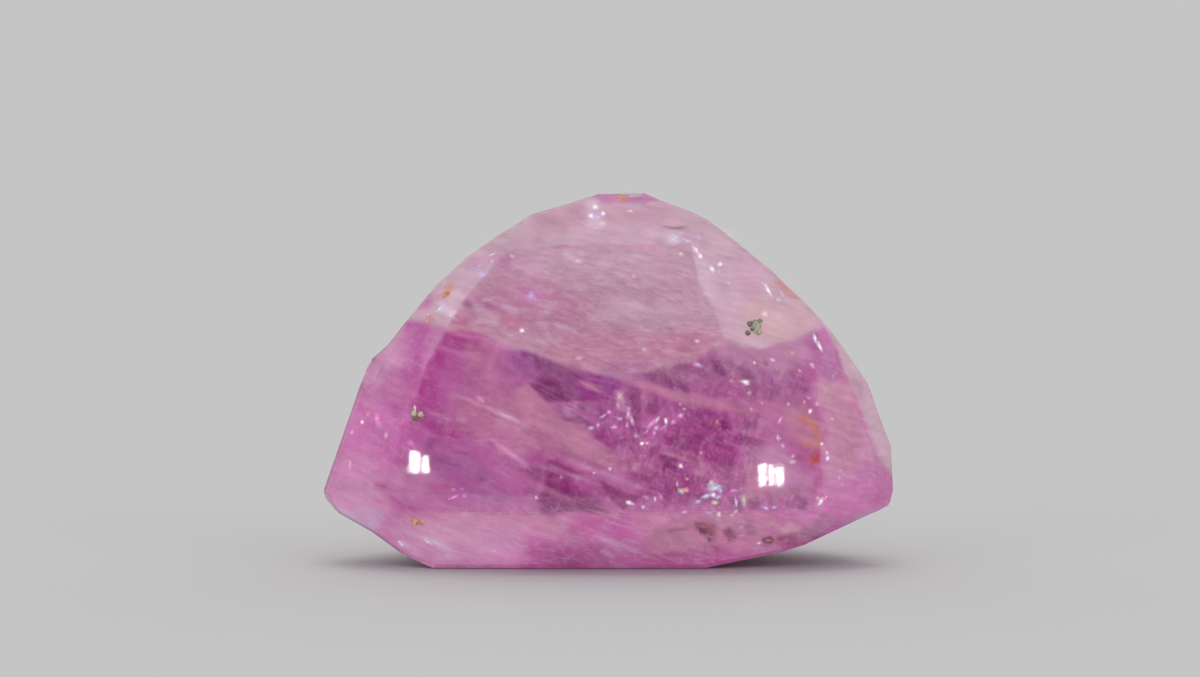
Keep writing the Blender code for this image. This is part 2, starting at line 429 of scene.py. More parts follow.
def new_group(name: str, inputs: dict[str, object]) -> tuple:
    """A shader node group with named inputs that makes one mask.

    Args:
        name: its name.
        inputs: each input's starting value, a number or three numbers.

    Returns:
        The group, its wiring, its input node and its output node.
    """
    tree = bpy.data.node_groups.new(name, "ShaderNodeTree")
    for label, value in inputs.items():
        kind = "NodeSocketVector" if isinstance(value, tuple) else "NodeSocketFloat"
        socket = tree.interface.new_socket(label, in_out="INPUT", socket_type=kind)
        socket.default_value = value
    tree.interface.new_socket("Mask", in_out="OUTPUT", socket_type="NodeSocketFloat")
    wiring = Wiring(tree)
    return tree, wiring, wiring.add("NodeGroupInput"), wiring.add("NodeGroupOutput")


def cut_mask(wiring: Wiring, noise: object, given: bpy.types.Node, made: bpy.types.Node) -> None:
    """Ends a group: its noise, cut between its two levels, becomes its mask.

    Args:
        wiring: the group's wiring.
        noise: the noise's socket.
        given, made: the group's input node and its output node.
    """
    levels = {"From_Min": given.outputs["From"], "From_Max": given.outputs["To"]}
    cut = wiring.add("ShaderNodeMapRange", SMOOTH, Value=noise, **levels)
    wiring.feed(made.inputs["Mask"], cut.outputs[0])


def silk_group() -> bpy.types.NodeTree:
    """Fine parallel threads: noise that is turned, drawn out along one way, and cut at a level."""
    origin = (0.0, 0.0, 0.0)
    inputs = {"Vector": origin, "Turn": origin, "Stretch": (1.0, 1.0, 1.0), "From": 0.5, "To": 0.7}
    tree, wiring, given, made = new_group("silk", inputs)
    waves = wiring.add("ShaderNodeTexNoise", Vector=given.outputs["Vector"], Scale=330.0, Detail=1.0)
    centred = wiring.add("ShaderNodeVectorMath", {"operation": "SUBTRACT"})
    wiring.feed(centred.inputs[0], waves.outputs["Color"])
    centred.inputs[1].default_value = (0.5, 0.5, 0.5)
    shift = wiring.add("ShaderNodeVectorMath", {"operation": "SCALE"}, Scale=0.0009)
    wiring.feed(shift.inputs[0], centred.outputs[0])
    moved = wiring.add("ShaderNodeVectorMath", {"operation": "ADD"})
    wiring.feed(moved.inputs[0], given.outputs["Vector"])
    wiring.feed(moved.inputs[1], shift.outputs[0])
    turned = wiring.add("ShaderNodeMapping", Vector=moved.outputs[0], Rotation=given.outputs["Turn"])
    drawn = wiring.add("ShaderNodeMapping", Vector=turned.outputs[0], Scale=given.outputs["Stretch"])
    noise = wiring.add("ShaderNodeTexNoise", Vector=drawn.outputs[0], Scale=1.0, Detail=3.0, Roughness=0.6)
    cut_mask(wiring, noise.outputs[0], given, made)
    return tree


def mottle_group() -> bpy.types.NodeTree:
    """Cloudy variation at one size, with finer clouds in it, from 0 to 1."""
    inputs = {"Vector": (0.0, 0.0, 0.0), "Scale": 1000.0, "From": 0.3, "To": 0.7}
    tree, wiring, given, made = new_group("mottle", inputs)
    noise = wiring.add("ShaderNodeTexNoise", Vector=given.outputs["Vector"], Detail=4.0, Roughness=0.62)
    wiring.feed(noise.inputs["Scale"], given.outputs["Scale"])
    cut_mask(wiring, noise.outputs[0], given, made)
    return tree


GROUPS = {"silk": silk_group(), "mottle": mottle_group()}


def new_material(name: str) -> tuple[bpy.types.Material, Wiring, bpy.types.Node]:
    """A material with its one shader.

    Args:
        name: its name.

    Returns:
        The material, its wiring and its shader node.
    """
    material = bpy.data.materials.new(name)
    material.use_nodes = True
    return material, Wiring(material.node_tree), material.node_tree.nodes["Principled BSDF"]


# What is seen in the front, in picture steps


class Tint(Enum):
    """The colours of the crystal, as they look in even light."""

    MAGENTA = (172, 92, 148)
    DEEP_PINK = (165, 66, 134)
    DEEP_MAGENTA = (148, 52, 120)
    WINE = (128, 44, 104)
    PLUM = (134, 70, 118)
    VIOLET = (146, 84, 138)
    DUSK = (118, 54, 104)
    DUSTY = (181, 113, 146)
    ROSE = (188, 124, 150)
    PALE = (200, 164, 181)
    MAUVE = (187, 147, 167)
    MIST = (218, 192, 212)
    LILAC = (205, 188, 226)
    ORCHID = (184, 94, 160)
    PINK = (193, 118, 166)
    LIGHT_PINK = (204, 146, 182)
    BEIGE = (202, 162, 168)
    GREY_MAUVE = (152, 110, 132)
    BROWN_MAUVE = (134, 82, 98)
    RED_ROSE = (182, 96, 122)
    UMBER = (104, 60, 78)
    PURPLE = (146, 52, 130)
    HAZE = (188, 140, 168)
    BRIGHT_PINK = (220, 136, 194)
    BLUSH = (222, 164, 196)
    STAIN = (196, 120, 88)
    RUST = (176, 70, 52)
    ORANGE = (214, 146, 104)


class Face(Enum):
    """Which faces of the front a mark is on."""

    ALL = "all"
    WINDOW = "window"
    CROWN = "crown"


class Edge(Enum):
    """How ragged a mark's outline is: the shift by slow noise and by quick noise."""

    CALM = (2.0, 0.8)
    RAGGED = (5.0, 2.2)
    TORN = (7.0, 3.6)


@dataclass(frozen=True)
class Patch:
    """A soft-edged patch of one tint on the front."""

    tint: Tint
    corners: tuple[Step, ...]
    softness: float
    strength: float
    face: Face
    edge: Edge

    def mask(self, across: Array, down: Array) -> Array:
        """How much of the patch is at each point: half on its outline, all well inside."""
        distance, _, _ = edge_distance(across, down, np.array(self.corners, float))
        return self.strength * smooth_step(0.5 - distance / (2.0 * self.softness))


@dataclass(frozen=True)
class Thread:
    """A thread of one tint from one place to another, which thins out at its ends."""

    tint: Tint
    start: Step
    end: Step
    width: float
    strength: float
    face: Face
    edge: Edge = Edge.CALM

    def mask(self, across: Array, down: Array) -> Array:
        """How much of the thread is at each point: a bell across it, and an arch along it.

        Args:
            across, down: the points.

        Returns:
            From 0 to the thread's strength.
        """
        start, end = np.array(self.start), np.array(self.end)
        run = end - start
        length = np.hypot(*run)
        along = ((across - start[0]) * run[0] + (down - start[1]) * run[1]) / length**2
        gap = np.abs((across - start[0]) * run[1] - (down - start[1]) * run[0]) / length
        arch = np.clip(4.0 * along * (1.0 - along), 0.0, 1.0) ** 0.6
        return self.strength * arch * np.exp(-((gap / self.width) ** 2))


def read_marks(table: str) -> tuple[Patch | Thread, ...]:
    """The marks of a table, which lie one over another in its order.

    A row says its kind unless it is a ragged patch, the tint, the softness or width, the strength,
    the faces unless it is on all of them, and its places. A long row goes on further in.

    Args:
        table: the rows.

    Returns:
        The patches and threads.
    """
    marks = []
    for row in table.replace("\n        ", " ").strip().splitlines():
        words = row.split()
        kind = words.pop(0) if words[0].islower() else "ragged"
        tint, size, strength, *rest = words
        face = Face.ALL if "," in rest[0] else Face[rest.pop(0)]
        places = tuple(tuple(map(float, place.split(","))) for place in rest)
        looks = float(size), float(strength), face
        if kind == "thread":
            marks.append(Thread(Tint[tint], *places, *looks))
        else:
            marks.append(Patch(Tint[tint], places, *looks, PATCH_EDGES[kind]))
    return tuple(marks)


PATCH_EDGES = {"ragged": Edge.RAGGED, "calm": Edge.CALM, "torn": Edge.TORN}
LEFT_BEVEL = read_marks("""
    PINK 7 0.95 405,316 456,322 437,348 419,382 412,420 404,450 398,485 385,512 318,510 318,480
        350,400 368,355 400,318
    ORCHID 8 0.75 CROWN 404,320 425,321 434,345 422,372 410,382 402,352
    LIGHT_PINK 8 0.7 388,330 402,333 394,358 386,382 372,396 362,378 378,350
    LIGHT_PINK 5 0.45 CROWN 430,330 445,334 436,350 424,368 420,356
    ORCHID 7 0.55 382,398 404,400 402,416 384,414
    ORCHID 10 0.6 366,420 430,424 440,440 420,452 380,446 352,440
    DEEP_PINK 8 0.55 376,440 400,446 404,464 382,470 370,460
    LIGHT_PINK 12 0.75 330,450 366,454 386,474 384,502 326,502 322,482
    LIGHT_PINK 13 0.75 320,498 362,502 400,520 444,545 446,570 400,560 350,530
    MIST 8 0.45 330,508 362,518 392,536 380,540 340,520
    LIGHT_PINK 10 0.17 376,350 412,356 400,430 392,506 330,504 350,430
    BRIGHT_PINK 8 0.42 352,400 390,400 396,424 398,472 334,474
    BLUSH 6 0.32 384,336 414,336 410,364 386,366
    BLUSH 7 0.28 CROWN 356,508 410,506 446,532 452,562 410,558 368,534
    LIGHT_PINK 7 0.42 392,470 442,470 444,492 392,496
""")
BOTTOM_BEVEL = read_marks("""
    calm PINK 5 0.8 CROWN 392,509 525,511 600,513 640,509 740,508 812,507 826,512 800,550 700,572 440,572
        400,556 372,530
    ROSE 9 0.7 CROWN 400,512 600,514 640,511 800,510 790,535 640,530 480,532 400,530
    MAGENTA 9 0.9 CROWN 520,545 560,540 606,548 640,552 700,560 700,574 510,574
    DEEP_PINK 8 0.45 CROWN 530,550 575,552 600,560 590,572 530,570
    ORCHID 9 0.6 CROWN 582,514 632,516 640,540 600,546 580,534
    GREY_MAUVE 6 0.75 446,536 480,533 520,537 516,546 480,550 450,544
    GREY_MAUVE 5 0.95 664,532 688,530 696,546 676,552 660,544
    DUSTY 10 0.85 CROWN 640,520 700,512 780,514 806,540 740,556 650,562
    HAZE 8 0.28 CROWN 650,518 800,514 800,536 740,552 650,560
    calm UMBER 2 1 696,523 704,524 714,537 710,543 702,534
    calm BROWN_MAUVE 4 0.85 700,521 716,523 716,541 710,540
    calm UMBER 3 0.9 722,529 730,527 738,540 730,541
    calm GREY_MAUVE 2.5 1 745,518 752,520 756,536 747,536
    calm UMBER 2 0.95 761,539 770,535 774,543 764,547
    calm BROWN_MAUVE 4 0.85 776,536 800,534 798,546 774,549
    calm BROWN_MAUVE 2.5 0.7 704,545 720,546 722,551 706,551
    thread BROWN_MAUVE 2 0.8 664,531 690,530
    thread BROWN_MAUVE 2.4 0.5 646,556 700,552
    torn BROWN_MAUVE 3 0.5 708,546 718,546 720,550 710,551
    GREY_MAUVE 6 0.7 806,524 838,514 846,520 820,536 800,545 790,540
    BEIGE 3 0.6 784,528 801,527 802,533 786,534
    BEIGE 5 0.5 824,508 836,508 838,519 828,519
    ORCHID 4 0.5 CROWN 780,514 802,513 804,522 784,523
    DEEP_PINK 4 0.5 CROWN 640,556 740,551 800,541 806,548 740,562 660,572
    LIGHT_PINK 7 0.4 CROWN 560,516 575,518 580,530 556,534 540,524
    LIGHT_PINK 10 0.6 CROWN 400,518 470,520 530,526 520,560 440,566 400,548
    PLUM 6 0.4 CROWN 540,549 556,548 580,556 590,566 560,566 540,560
    LIGHT_PINK 8 0.48 CROWN 396,520 490,522 500,558 420,562 390,545
    DEEP_PINK 6 0.42 CROWN 568,514 624,516 624,538 572,540
    HAZE 6 0.38 798,512 836,508 832,528 800,538
    HAZE 5 0.4 752,546 786,544 780,556 748,558
    thread MIST 2.2 0.7 398,540 408,549
    thread MIST 2.4 0.6 410,532 456,552
    thread MIST 1.6 0.6 424,539 440,547
    thread MIST 1.8 0.5 590,532 640,552
    thread MIST 1.4 0.5 600,538 626,552
    thread LILAC 2.2 0.5 600,549 616,558
    thread LIGHT_PINK 2 0.5 664,530 672,548
    thread LIGHT_PINK 2.4 0.35 500,525 560,538
    thread LIGHT_PINK 3 0.4 440,552 520,562
    thread LIGHT_PINK 3 0.4 700,536 716,556
""")
# In RIGHT_SIDE, the faint MIST patch at 728 to 808 across and 446 to 500 down is the crystal's pale tint and
# partly a painted sheen round the right window reflection.
RIGHT_SIDE = read_marks("""
    DUSTY 14 0.35 734,384 790,390 812,404 818,450 816,506 740,508 738,470 756,440
    PINK 8 0.95 815,330 846,322 864,350 876,378 888,398 898,428 906,462 908,500 908,514 852,530
        826,516 814,500 816,470 824,440 816,410 808,392 814,372
    LIGHT_PINK 12 0.5 824,400 850,396 870,440 884,480 856,500 828,480
    VIOLET 8 0.5 808,338 820,333 836,352 846,378 834,388 820,376 808,356
    BEIGE 9 0.55 818,384 846,384 852,402 826,406 812,396
    ROSE 10 0.75 824,405 852,405 866,440 862,470 836,470 824,440
    RED_ROSE 4 0.6 848,446 860,447 860,457 850,456
    ORCHID 12 0.5 836,478 874,466 888,498 870,508 842,504
    calm PALE 2.5 1 CROWN 820,314 846,346 868,384 888,430 897,456 897,482 888,470 878,456 868,432 858,402
        848,378 838,352 826,330
    MIST 5 0.22 CROWN 846,352 868,388 888,436 892,464 880,452 866,414 852,382
    PINK 5 0.7 888,470 897,470 897,500 885,510 880,490
    torn PLUM 4 0.65 WINDOW 772,367 790,368 794,377 778,379
    torn PLUM 4 0.55 WINDOW 787,378 806,376 812,388 796,394
    torn DEEP_MAGENTA 4 0.6 WINDOW 760,374 772,376 778,398 766,396
    DUSTY 4 0.9 782,410 800,406 816,416 822,440 808,447 790,440
    DEEP_PINK 6 0.5 790,450 806,448 808,470 792,470
    DEEP_PINK 7 0.45 786,470 816,470 816,500 800,503 786,490
    DUSTY 6 0.42 826,380 860,380 866,404 832,408
    HAZE 7 0.68 720,334 806,334 812,352 800,372 780,386 752,386 728,382 718,360
    MIST 7 0.22 748,446 784,446 808,470 808,496 728,500 744,480
    HAZE 9 0.2 WINDOW 744,386 800,386 806,434 748,436
    HAZE 9 0.1 822,396 856,396 866,484 824,484
    thread STAIN 3.6 0.85 797,413 816,429
    thread STAIN 3 0.8 812,424 822,450
    thread STAIN 2.6 0.6 798,441 822,446
    RUST 3 0.9 808,452 816,451 818,461 809,464
    thread PALE 2.4 0.35 CROWN 860,420 872,470
    thread PALE 2 0.35 CROWN 874,440 880,475
""")
LOWER_WINDOW = read_marks("""
    calm DEEP_PINK 6 0.9 WINDOW 446,330 466,329 482,336 476,348 446,356 438,372 438,396 446,410 420,412
        414,390 424,366 437,347
    calm DEEP_MAGENTA 5 0.4 WINDOW 424,366 436,346 442,352 432,374
    ROSE 10 0.5 462,344 502,346 514,366 504,388 468,380
    VIOLET 9 0.3 466,366 484,366 488,384 470,386
    DEEP_PINK 7 0.85 424,413 450,420 474,430 466,443 440,438 424,426
    RED_ROSE 3 0.5 449,392 456,392 456,400 450,400
    RED_ROSE 2 0.5 448,370 454,370 454,377 449,377
    DUSTY 14 0.8 455,396 500,388 530,384 556,410 600,446 600,462 560,456 520,450 480,440 456,420
    calm ROSE 1.8 0.65 WINDOW 512,386 529,385 541,396 552,405 562,417 575,425 590,437 606,446 636,452
        652,468 662,480 640,478 600,466 566,446 540,430 520,410
    VIOLET 7 0.6 434,456 470,459 492,470 502,480 482,487 450,480 430,468
    VIOLET 8 0.5 462,485 500,486 512,500 490,508 462,502
    PLUM 4 0.7 428,436 438,437 438,452 428,450
    PLUM 2.5 0.6 477,479 486,480 487,485 479,485
    PLUM 2.5 0.5 486,439 497,441 497,446 487,445
    DEEP_PINK 3 0.5 372,480 386,482 386,488 374,487
    DEEP_PINK 3 0.5 432,484 452,484 454,490 434,491
    MAGENTA 9 0.6 384,484 450,488 456,506 392,508
    MAGENTA 10 0.8 590,400 660,396 720,400 742,440 740,505 600,508 600,470 640,470 600,440
    DEEP_PINK 12 0.45 604,440 660,430 670,470 700,490 690,508 640,505 630,480
    VIOLET 8 0.4 500,348 530,352 530,385 508,388 496,370
    calm VIOLET 2 0.85 512,353 520,349 534,352 546,358 560,372 540,384 524,372 513,364
    calm PLUM 1.6 0.95 530,354 545,358 570,366 590,371 608,374 621,379 620,388 610,399 590,400 574,399
        560,400 549,401 538,392 529,384 540,378 534,366
    calm DUSK 3 0.95 530,383 548,381 572,386 580,399 560,400 549,401 538,392
    calm WINE 3 0.9 566,389 590,386 600,398 584,400 566,399
    calm DUSK 2.5 0.8 572,372 590,372 600,376 600,386 590,383 576,377
    calm PURPLE 4 0.75 584,372 602,373 622,379 620,394 606,400 588,398 578,388
    calm VIOLET 3 0.3 601,378 610,378 612,392 602,396
    calm PURPLE 2 0.8 612,379 621,380 618,391 612,393
    thread DUSK 1.8 0.6 520,354 546,360
    thread DUSK 1.8 0.7 540,362 584,372
    thread ROSE 1.7 0.95 580,379 603,393
    thread VIOLET 1.3 0.5 556,384 590,398
    calm VIOLET 3 0.6 549,402 600,402 600,416 584,416 562,414
    calm WINE 1.5 1 575,404 583,405 585,410 577,409
    calm PLUM 1.8 0.9 561,416 580,416 592,424 592,430 576,424 562,419
    calm DEEP_MAGENTA 2 0.9 588,428 604,430 612,444 606,445 594,438
    calm PLUM 2 0.85 628,387 639,386 641,410 630,412
    calm PLUM 2.5 0.8 631,410 641,410 641,433 632,430
    calm PLUM 2 0.75 647,392 657,393 657,416 648,414
    ORCHID 6 0.5 640,446 650,420 668,408 684,412 676,428 656,438
    calm LIGHT_PINK 3 0.6 615,391 624,391 626,410 616,410
    calm LIGHT_PINK 2 0.5 642,392 646,392 645,412 641,412
    calm PLUM 1.8 0.8 642,369 650,366 659,370 658,383 648,380 641,376
    GREY_MAUVE 8 0.5 646,366 700,360 730,362 720,384 700,388 660,384
    torn GREY_MAUVE 3 0.5 628,369 641,368 641,375 630,375
    calm PLUM 1.8 0.95 661,371 672,374 684,381 692,392 682,393 672,388 662,386
    calm DUSK 2 0.7 678,382 688,386 691,392 681,391
    torn GREY_MAUVE 4 0.55 666,361 684,362 688,372 672,371
    calm DUSK 2 0.8 711,360 719,361 728,376 720,377 713,371
    torn GREY_MAUVE 3 0.5 714,378 723,378 723,385 715,385
    calm PLUM 3 0.7 733,366 744,366 758,374 757,380 742,378
    VIOLET 5 0.5 756,366 770,374 776,398 766,400 758,386
    torn DEEP_MAGENTA 6 0.7 692,406 720,408 728,424 746,432 752,443 738,450 736,468 715,462 690,458 668,452
        664,436 676,425
    calm DUSK 3 0.5 692,434 704,434 703,446 694,447
    calm WINE 4 0.6 674,436 692,434 694,450 676,450
    calm WINE 2 0.75 719,421 727,421 728,430 719,430
    calm DUSK 2 0.8 715,438 723,438 724,447 716,447
    calm DUSK 2.5 0.6 738,432 749,436 748,444 738,443
    torn DUSK 3.5 0.7 720,458 734,457 735,470 724,470
    torn PLUM 3 0.7 744,420 754,420 754,428 745,428
    torn PLUM 3 0.6 738,435 750,436 748,444 739,444
    calm WINE 2.5 0.85 660,455 678,458 678,469 664,470
    DEEP_PINK 4 0.7 522,450 545,453 546,462 526,462
    PLUM 3 0.7 520,466 530,463 546,466 546,482 538,482 529,473
    DEEP_MAGENTA 3 0.95 545,463 560,465 580,475 576,484 578,499 562,498 548,488
    calm WINE 2.5 0.8 546,463 556,465 553,478 547,478
    calm WINE 3 0.8 548,480 570,480 572,499 558,496
    calm WINE 1.4 1 538,500 556,498 572,499 588,503 606,508 602,511 582,511 570,513 546,512 541,506
    calm DUSK 2.5 0.6 550,502 580,502 596,507 580,511 556,511
    torn PLUM 3 0.7 524,491 540,493 540,500 527,499
    calm WINE 2 0.85 596,478 612,486 627,492 640,496 633,503 622,508 612,500 604,490
    calm WINE 2.5 0.7 626,476 640,478 634,486 627,483
    DEEP_MAGENTA 4 0.6 628,470 650,480 654,496 640,492 628,480
    torn DEEP_MAGENTA 4 0.65 WINDOW 662,480 700,478 702,509 664,509
    torn WINE 3 0.6 WINDOW 702,497 720,497 720,509 704,509
    torn WINE 3 0.7 WINDOW 723,494 736,494 736,508 724,508
    torn PLUM 3 0.75 WINDOW 744,497 762,498 762,508 746,508
    torn DUSK 2.5 0.75 WINDOW 792,500 806,501 808,508 796,507
    torn PLUM 2.5 0.5 WINDOW 785,488 795,489 794,498 787,498
    ROSE 4 0.6 742,487 790,488 800,494 770,500 744,496
    ROSE 8 0.45 690,470 752,464 756,486 722,490 700,486
    DEEP_PINK 8 0.24 606,396 664,396 664,434 610,434
    DEEP_MAGENTA 8 0.42 556,466 604,470 606,504 560,502
    PLUM 8 0.13 524,404 560,406 566,434 530,434
    ORCHID 8 0.2 WINDOW 426,356 464,358 462,402 424,404
    WINE 4 0.8 538,493 562,491 600,499 606,510 544,514
    LIGHT_PINK 6 0.24 616,446 652,446 652,472 620,472
    WINE 7 0.34 696,424 730,424 730,472 700,472
    thread LIGHT_PINK 1.6 0.5 447,332 530,352
    thread LIGHT_PINK 2 0.4 436,345 480,358
    thread LIGHT_PINK 1.8 0.6 450,394 530,426
    thread MIST 1.6 0.55 496,410 522,422
    thread MIST 1.6 0.6 476,398 484,402
    thread LIGHT_PINK 2.6 0.7 494,441 528,468
    thread LIGHT_PINK 1.4 0.5 490,438 512,452
    thread LIGHT_PINK 3.4 0.5 560,455 660,496
    thread LIGHT_PINK 2 0.5 545,463 600,486
    thread ROSE 3.6 0.6 590,442 660,480
    thread ROSE 2.6 0.6 655,450 712,468
    thread ROSE 1.8 0.5 678,452 704,460
    thread ROSE 2.4 0.5 530,482 580,502
    thread LIGHT_PINK 1.6 0.55 428,410 452,420
    thread LIGHT_PINK 2 0.55 350,452 380,464
    DUSTY 2.5 0.75 606,372 624,374 650,384 690,396 740,403 780,408 776,414 720,408 670,400 640,390
        622,384
    thread ROSE 3.4 0.8 620,377 668,394
    thread ROSE 2.6 0.7 650,386 712,406
    thread ROSE 2 0.6 658,366 676,378
    thread ROSE 3.2 0.4 690,402 770,414
    thread ROSE 3 0.4 650,384 740,404
    thread PLUM 1.8 0.45 524,431 548,438
    thread PLUM 4 0.35 555,448 572,456
""")
PALE_TOP = read_marks("""
    calm MAUVE 3 1 300,100 900,100 900,300 832,316 818,329 791,341 763,350 740,348 726,344 706,354 690,362
        664,368 640,374 620,378 600,373 583,369 554,361 525,350 497,342 470,331 447,330 430,324 405,317
        380,325 300,340
    calm PALE 5 1 CROWN 300,100 900,100 900,300 836,322 818,329 791,341 763,350 726,344 600,330 452,324
        405,317 380,325 300,340
    DUSTY 16 0.6 WINDOW 456,290 500,276 560,280 600,300 590,335 520,338 470,330 452,322
    ROSE 10 0.9 WINDOW 556,338 600,330 650,334 700,328 724,340 706,354 664,368 620,378 583,369 540,354
    RED_ROSE 10 0.3 WINDOW 650,328 674,328 700,338 690,352 664,346
    GREY_MAUVE 12 0.13 WINDOW 480,286 640,284 716,330 690,356 560,346 480,320
    ORCHID 6 0.5 514,288 546,285 552,296 538,304 518,302
    ORCHID 6 0.5 490,260 508,256 520,264 512,272 494,273
    LIGHT_PINK 10 0.4 500,256 545,258 550,272 510,276
    torn PLUM 3 0.55 WINDOW 460,305 474,303 478,314 464,316
    torn DEEP_PINK 3 0.45 478,306 508,307 512,313 486,315
    torn RED_ROSE 4 0.55 494,318 522,319 524,328 500,328
    RED_ROSE 5 0.6 WINDOW 450,318 468,316 470,328 450,330
    torn PALE 4 0.6 478,315 498,316 500,327 482,326
    PALE 12 0.45 604,300 640,296 680,306 700,322 650,330 610,318
    MAUVE 10 0.6 WINDOW 540,248 690,248 698,270 620,290 560,280
    GREY_MAUVE 12 0.25 WINDOW 590,276 640,274 650,290 600,292
    ORCHID 3 0.6 584,193 612,188 630,190 656,190 656,200 630,203 600,203
    MIST 6 0.55 CROWN 584,200 600,202 609,222 604,234 590,230
    ROSE 9 0.35 CROWN 530,214 580,206 584,228 540,234
    ROSE 8 0.35 CROWN 612,206 660,210 656,222 614,228
    MIST 4 0.5 CROWN 666,230 680,232 678,247 668,246
    MIST 8 0.35 CROWN 690,250 702,254 722,300 724,312 706,300
    LIGHT_PINK 12 0.4 CROWN 734,256 764,262 766,300 740,300
    BEIGE 9 0.7 CROWN 752,300 800,304 820,326 790,343 756,340 740,320
    STAIN 4 0.5 CROWN 776,281 784,284 802,300 796,302 784,294
    LIGHT_PINK 7 0.5 CROWN 416,298 436,286 444,302 430,316 412,316
    ORCHID 4 0.5 CROWN 418,302 432,300 430,312 416,314
    ORANGE 2.5 0.75 CROWN 440,292 450,288 453,294 444,299
    STAIN 3 0.5 CROWN 426,319 436,320 436,326 428,326
    ORANGE 2.5 0.75 CROWN 616,193 628,193 627,199 618,200
    LILAC 3 0.6 472,266 482,272 486,279 476,277 470,270
    MIST 3.5 0.7 CROWN 436,306 446,305 460,314 454,320 442,316
    MIST 5 0.4 CROWN 446,296 456,292 462,300 452,306
    ROSE 9 0.2 CROWN 484,243 520,232 540,240 520,250 490,254
    LIGHT_PINK 6 0.5 CROWN 460,262 486,252 496,260 474,274
    VIOLET 5 0.42 596,364 650,360 650,384 620,386 598,376
    thread BROWN_MAUVE 1.6 0.7 660,226 688,229
    thread ORCHID 1.8 0.4 530,247 700,246
    thread PLUM 1.4 0.3 546,246 570,245
    thread MIST 2 0.5 WINDOW 560,252 584,262
    thread MIST 1.6 0.4 WINDOW 612,268 646,292
    thread MIST 2.4 0.45 WINDOW 632,254 650,260
    thread MIST 1.8 0.45 WINDOW 660,288 682,304
    thread MIST 2.6 0.4 WINDOW 630,300 650,312
    thread RED_ROSE 1.2 0.45 WINDOW 634,276 644,293
    thread PLUM 1.2 0.45 WINDOW 664,299 700,304
    thread PLUM 1.1 0.35 WINDOW 660,290 696,292
    thread PLUM 1.6 0.45 WINDOW 600,318 628,332
    thread BROWN_MAUVE 2 0.45 WINDOW 604,326 628,331
    thread BROWN_MAUVE 2 0.35 WINDOW 666,326 676,331
    thread BROWN_MAUVE 1.8 0.35 WINDOW 676,348 690,352
    thread PALE 2 0.4 WINDOW 590,322 640,334
    thread MIST 1.8 0.5 WINDOW 498,306 520,310
    thread ROSE 3 0.5 WINDOW 470,330 540,344
""")


# Where columns and shards break up the colour, where it is mottled, and where it lies in fine
# layers: only the places and strengths of these patches count, not their tint
CLEAR_ZONES = read_marks("""
    WINE 9 1 600,392 626,384 664,400 700,406 760,414 764,440 752,470 742,508 622,508 640,486 604,448
        590,420
    WINE 6 0.8 646,364 700,358 760,358 812,376 806,398 760,402 690,396 650,382
    WINE 8 0.5 520,462 560,464 600,486 630,506 540,512 530,490
    WINE 5 0.8 742,490 812,496 812,508 742,508
""")
MOTTLED_ZONES = read_marks("""
    WINE 8 1 380,512 830,506 840,530 700,575 400,575 330,520
    WINE 12 0.6 815,330 900,440 900,510 815,520
    WINE 12 0.5 310,500 360,360 410,316 440,330 410,420 400,512
    WINE 12 0.5 690,190 800,200 830,320 760,345 716,300
""")
LAYERED_ZONES = read_marks("""
    WINE 12 1 450,330 500,250 700,250 740,345 620,372 540,352
    WINE 12 0.6 430,400 520,388 600,440 650,480 500,470 430,440
    WINE 6 1 560,398 600,400 604,420 566,418
""")


def together(marks: Sequence[Patch | Thread], across: Array, down: Array) -> Array:
    """The strongest of several marks at each point.

    Args:
        marks: patches and threads.
        across, down: the points.

    Returns:
        From 0 to 1.
    """
    total = np.zeros(across.shape)
    for mark in marks:
        total = np.maximum(total, mark.mask(across, down))
    return total


